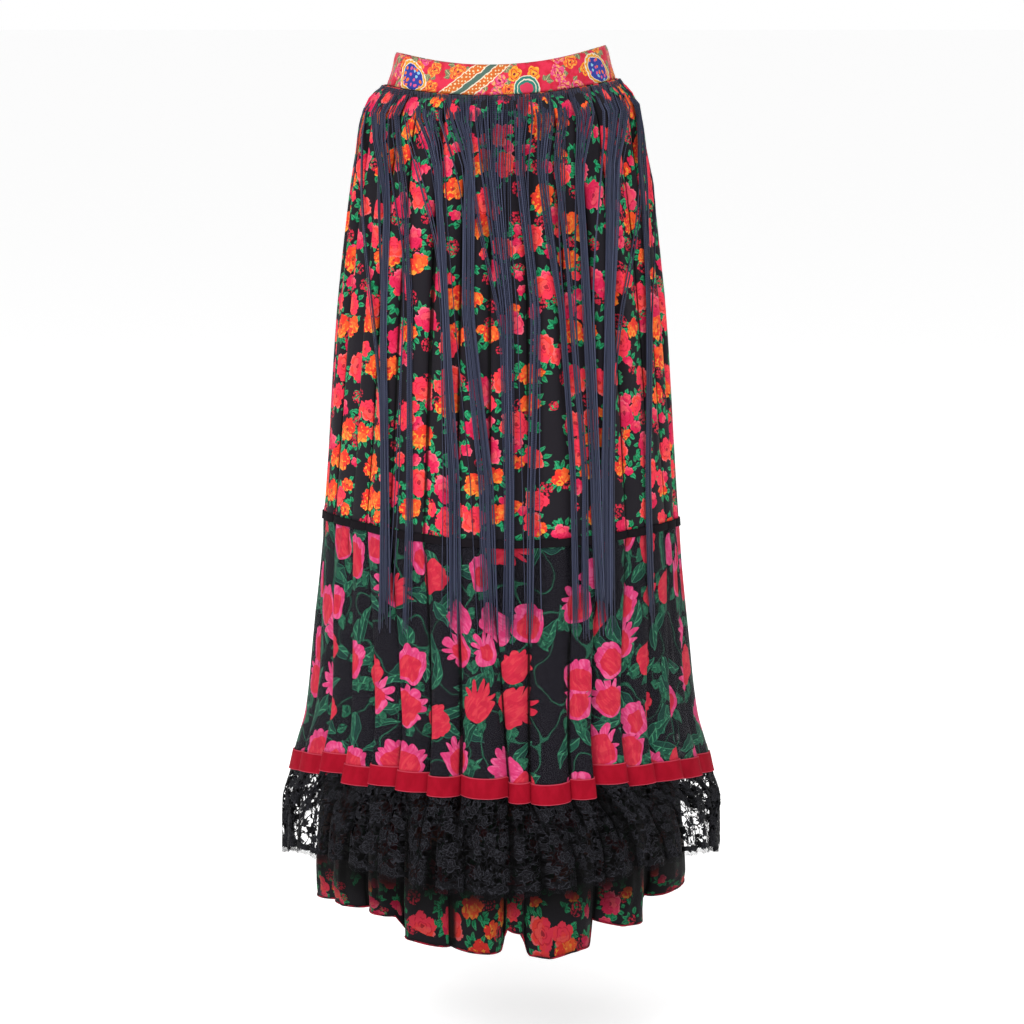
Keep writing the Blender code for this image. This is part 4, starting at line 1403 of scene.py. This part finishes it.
class SKIRT_OT_underskirt(bpy.types.Operator):
    """Adds the underskirt with the rose print and its narrow rolled hem"""

    bl_idname = "skirt.underskirt"
    bl_label = "Underskirt"

    def execute(self, context):
        sizes, colours = context.scene.skirt_sizes, context.scene.skirt_colours
        z = heights(HEM, JOIN - SEAM_GAP, 62)
        points = skirt_tube("under", z, sizes.finer + 3)
        columns = points.shape[1] // 2
        share = np.clip((HEM_BEND - z) / (HEM_BEND - HEM), 0, 1)[:, None]
        wide, deep = INNER[-1, 1:3]
        for half, hem in ((slice(0, columns), FRONT_HEM), (slice(columns, None), BACK_HEM)):
            angle = np.degrees(np.arctan2(points[-1, half, 0] / wide, np.abs(points[-1, half, 1]) / deep))
            points[:, half, 2] += share * np.interp(angle, *hem) * 0.001
        # Painted shadow of the flounce above -0.898, and the lining darkened all over to 0.44 as painted
        # shade
        cloth = rose_cloth("Rose lining", sizes, colours, 0.26, -0.898, 0.44)
        made = tube_object("underskirt", points, *flat_map(points, 2.0), cloth, sizes.cloth)
        hem = rolled_edge("rolled_hem", points[-1], sizes.hem_roll, hem_thread())
        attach(hem, BODY)
        finish_piece(made, "underskirt")
        return {"FINISHED"}


def rolled_edge(name, path, radius, material):
    """A closed cord: a ring of a few corners carried round the path.

    Corner = path + radius x (cosine x outward + sine x up), outward being level.
    """
    along = np.roll(path, -1, axis=0) - np.roll(path, 1, axis=0)
    out = np.stack([-along[:, 1], along[:, 0], 0 * along[:, 0]], axis=-1)
    out /= np.linalg.norm(out, axis=-1, keepdims=True)
    out *= np.sign((out * path).sum(axis=-1, keepdims=True))
    turn = np.arange(CORD_CORNERS + 1) * math.tau / CORD_CORNERS
    ring = np.cos(turn)[None, :, None] * out[:, None] + np.sin(turn)[None, :, None] * (0, 0, 1)
    vertices = path[:, None] + ring[:, :-1] * radius
    number = closed(np.arange(len(path) * CORD_CORNERS).reshape(-1, CORD_CORNERS))
    number = np.concatenate([number, number[:1]])
    length = np.linalg.norm(np.diff(np.concatenate([path, path[:1]]), axis=0), axis=-1)
    place = np.meshgrid(running_sum(length), turn * radius, indexing="ij")
    maps = {"Cloth": quads(np.stack(place, axis=-1))}
    return new_object(name, vertices, quads(number).reshape(-1, 4), maps, material)


def hidden_bundles(draw, start, stop):
    """Bundles of uneven width for the hidden sides, from one angle to another."""
    edges = [start]
    while edges[-1] < stop - 12:
        edges.append(edges[-1] + draw.uniform(9, 21))
    edges[-1] = stop
    made = []
    for low, high in zip(edges, edges[1:]):
        middle = (low + high) / 2 + np.cumsum(draw.uniform(-1.5, 1.5, 4))
        wide = (high - low) / 15 * draw.uniform(0.8, 1.2, 4)
        made.append(Bundle((low, high), tuple(middle), tuple(np.array((8, 6, 6, 6.5)) * wide)))
    return made


def strand_paths(bundles, gap, draw):
    """Angles and stand-offs of all strands: rows are strands, columns are heights.

    A strand leaves its own root straight down and glides into its bundle, where it keeps a
    place of its own across the width and through the thickness.
    """
    angle, stand_off, height = [], [], []
    rows, table = -np.array(BUNDLE_HEIGHTS), -OUTER[:, 0]
    wide, deep = OUTER[1, 1:3]
    wanted = np.linspace(0, 1, STRAND_PLACES)
    for bundle in bundles:
        low, high = np.radians(bundle.roots)
        middle = (low + high) / 2
        arc = math.hypot(wide * math.cos(middle), deep * math.sin(middle)) * (high - low)
        count = max(3, int(arc / gap))
        root = low + (np.arange(count) + draw.uniform(0.2, 0.8, count)) / count * (high - low)
        end = draw.uniform(*STRAND_ENDS, count)
        z = BAND_BOTTOM - 0.001 + wanted * (end[:, None] - BAND_BOTTOM)
        rank = np.linspace(-1, 1, count) * 0.80 + draw.uniform(-0.18, 0.18, count)
        centre = np.radians(np.interp(-z, rows, bundle.centres))
        half_width = np.interp(-z, rows, bundle.half_widths) * 0.00115
        reach = np.hypot(np.interp(-z, table, OUTER[:, 1]) * np.cos(centre),
                         np.interp(-z, table, OUTER[:, 2]) * np.sin(centre))
        goal = centre + rank[:, None] * half_width / reach
        late = draw.uniform(0.070, 0.150) + draw.normal(0, 0.006, count)
        late += (np.abs(np.linspace(-1, 1, count)) > 0.80) * draw.uniform(0.05, 0.26)
        pull = np.sin(np.pi / 2 * np.clip((BAND_BOTTOM - z) / late[:, None], 0, 1))
        wander = draw.normal(0, 0.0005, (count, 1)) * np.sin(z * draw.uniform(9, 20, (count, 1)))
        stray = (draw.random((count, 1)) < 0.05) * draw.normal(0, 0.06, (count, 1)) * wanted
        angle.append(root[:, None] * (1 - pull) + goal * pull + wander / reach + stray)
        layer = draw.uniform(0.0004, 0.0036, (count, 1)) * (0.35 + 0.65 * pull)
        stand_off.append(layer + 0.0006 + waist_puff(z))
        height.append(z)
    return np.concatenate(angle), np.concatenate(stand_off), np.concatenate(height)


def strand_points(angle, stand_off, z):
    """Strand centres on the skirt's ellipse, moved out by their stand-off.

    Angles run from the middle of the front to the right, so the back is at 180 degrees. At
    the side seams they follow the crease of the cloth inwards.
    """
    found = rings(OUTER, z.ravel())
    wide, deep, front_rise, back_rise, tilt, lift = (row.reshape(z.shape) for row in found)
    sine, cosine = np.sin(angle), np.cos(angle)
    out = np.stack([deep * sine, -wide * cosine], axis=-1)
    out /= np.linalg.norm(out, axis=-1, keepdims=True)
    rise = np.where(cosine > 0, front_rise, back_rise)
    seam = SEAM_CREASE["upper"] * np.exp(-(cosine / 0.13) ** 2) * np.clip((BAND_BOTTOM - z) / 0.06, 0, 1)
    x = wide * sine + out[..., 0] * (stand_off - seam)
    y = -deep * cosine + out[..., 1] * (stand_off - seam)
    height = z + rise * cosine**2 + tilt * sine + lift * sine**2 * np.abs(cosine)
    return np.stack([x, y, height], axis=-1)


def strand_mesh(name, centres, radius, material):
    """Four-sided tubes carried along the centres: a ring of four corners at each point."""
    strands, rows = centres.shape[:2]
    along = np.gradient(centres, axis=1)
    along /= np.linalg.norm(along, axis=-1, keepdims=True)
    radial = centres * (1, 1, 0)
    radial /= np.linalg.norm(radial, axis=-1, keepdims=True)
    side = np.cross(along, radial)
    side /= np.linalg.norm(side, axis=-1, keepdims=True)
    front = np.cross(side, along)
    turn = np.arange(4) * math.pi / 2 + math.pi / 4
    corner = np.cos(turn)[:, None] * side[:, :, None] + np.sin(turn)[:, None] * front[:, :, None]
    taper = np.where(np.arange(rows) == rows - 1, 0.6, 1.0)[None, :, None, None]
    vertices = centres[:, :, None] + corner * radius * taper
    number = np.arange(strands * rows * 4).reshape(strands, rows, 4)
    n = np.roll(number, -1, axis=2)
    faces = np.stack([number[:, 1:], n[:, 1:], n[:, :-1], number[:, :-1]], axis=-1).reshape(-1, 4)
    length = np.linalg.norm(np.diff(centres, axis=1), axis=-1)
    along_it = np.concatenate([np.zeros((strands, 1)), np.cumsum(length, axis=1)], axis=1)
    strand_u = np.arange(strands)[:, None, None] + np.arange(5) / 4.001
    u = np.broadcast_to(strand_u, (strands, rows, 5))
    v = np.broadcast_to(along_it[:, :, None], (strands, rows, 5))
    pair = np.stack([u, v], axis=-1)
    uv = np.stack([pair[:, 1:, :-1], pair[:, 1:, 1:], pair[:, :-1, 1:], pair[:, :-1, :-1]], axis=3)
    ends = np.concatenate([number[:, 0], number[:, -1, ::-1]])
    end_uv = np.repeat(pair[:, 0, :1], 4, axis=1)
    uv = np.concatenate([uv.reshape(-1, 4, 2), end_uv, end_uv])
    return new_object(name, vertices, np.concatenate([faces, ends]), {"Cloth": uv}, material)


class SKIRT_OT_fringe(bpy.types.Operator):
    """Adds the navy fringe that hangs from the waist seam in loose bundles"""

    bl_idname = "skirt.fringe"
    bl_label = "Fringe"

    def execute(self, context):
        sizes, colours = context.scene.skirt_sizes, context.scene.skirt_colours
        draw = np.random.default_rng(31)
        bundles = list(FRONT_BUNDLES) + hidden_bundles(draw, HIDDEN_FROM, HIDDEN_TO)
        centres = strand_points(*strand_paths(bundles, sizes.strand_gap, draw))
        made = strand_mesh("fringe", centres, sizes.strand, yarn_material(colours))
        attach(made, BODY)
        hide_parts("fringe_front", "fringe_back")
        return {"FINISHED"}


class SKIRT_OT_stage(bpy.types.Operator):
    """Adds the pale floor, the soft lights and the camera"""

    bl_idname = "skirt.stage"
    bl_label = "Stage"

    def execute(self, context):
        scene = context.scene
        ground = HEM - scene.skirt_sizes.floor_drop
        corners = np.array([(x * FLOOR_REACH, y * FLOOR_REACH, ground)
                            for x, y in ((-1, -1), (1, -1), (1, 1), (-1, 1))])
        pale = bpy.data.materials.new("Pale floor")
        pale.use_nodes = True
        shade_with(pale, Base_Color=(0.95, 0.95, 0.95, 1.0), Emission_Color=(1.0, 1.0, 1.0, 1.0),
                   Emission_Strength=0.42, Roughness=0.9, Specular_IOR_Level=0.1)
        floor = new_object("floor", corners, np.array([[0, 1, 2, 3]]), {"Cloth": corners[:, :2]}, pale)
        scene.world = bpy.data.worlds.new("Studio")
        scene.world.use_nodes = True
        nodes = scene.world.node_tree.nodes
        background = nodes["Background"]
        seen = Wire(nodes.new("ShaderNodeLightPath").outputs["Is Camera Ray"])
        feed(background.inputs["Color"], (1.0, 1.0, 1.0, 1.0))
        feed(background.inputs["Strength"], seen * (1.0 - AMBIENT) + AMBIENT)
        for name, place, power, size in (
            ("key", (-2.4, -3.2, 1.9), 120.0, 2.0),
            ("fill", (2.6, -3.0, 1.0), 42.0, 2.6),
            ("back", (0.0, 3.2, 2.6), 45.0, 3.0),
        ):
            light = bpy.data.lights.new(name, "AREA")
            light.energy, light.size = power, size
            lamp = bpy.data.objects.new(name, light)
            scene.collection.objects.link(lamp)
            lamp.location = place
            aim = np.array(AIM) - np.array(place)
            tilt = math.atan2(math.hypot(*aim[:2]), -aim[2])
            lamp.rotation_euler = (tilt, 0, math.atan2(aim[1], aim[0]) - math.pi / 2)
        lens = bpy.data.cameras.new("camera")
        lens.lens, lens.sensor_width = LENS, SENSOR
        camera = bpy.data.objects.new("camera", lens)
        camera.location = CAMERA_PLACE
        camera.rotation_euler = (math.radians(90 - CAMERA_PITCH), 0, 0)
        scene.collection.objects.link(camera)
        scene.camera = camera
        scene.view_settings.view_transform = "Standard"
        return {"FINISHED"}


STEPS = (
    SKIRT_OT_stage, SKIRT_OT_waistband, SKIRT_OT_upper_tier, SKIRT_OT_lower_tier,
    SKIRT_OT_velvet_trims, SKIRT_OT_lace_flounce, SKIRT_OT_underskirt, SKIRT_OT_fringe,
)


class SKIRT_PT_panel(bpy.types.Panel):
    """Lists the steps of the skirt with its sizes and colours"""

    bl_idname = "SKIRT_PT_panel"
    bl_label = "Tiered Skirt"
    bl_space_type = "VIEW_3D"
    bl_region_type = "UI"
    bl_category = "Skirt"

    def draw(self, context):
        for step in STEPS:
            self.layout.operator(step.bl_idname)
        for group in (context.scene.skirt_sizes, context.scene.skirt_colours):
            column = self.layout.column()
            for name in group.__annotations__:
                column.prop(group, name)


CLASSES = (SkirtSizes, SkirtColours, *STEPS, SKIRT_PT_panel)


def register():
    for cls in CLASSES:
        bpy.utils.register_class(cls)
    bpy.types.Scene.skirt_sizes = PointerProperty(type=SkirtSizes)
    bpy.types.Scene.skirt_colours = PointerProperty(type=SkirtColours)


def unregister():
    del bpy.types.Scene.skirt_colours
    del bpy.types.Scene.skirt_sizes
    for cls in reversed(CLASSES):
        bpy.utils.unregister_class(cls)


def main():
    register()
    for step in STEPS:
        prefix, name = step.bl_idname.split(".")
        getattr(getattr(bpy.ops, prefix), name)()


if __name__ == "__main__":
    main()
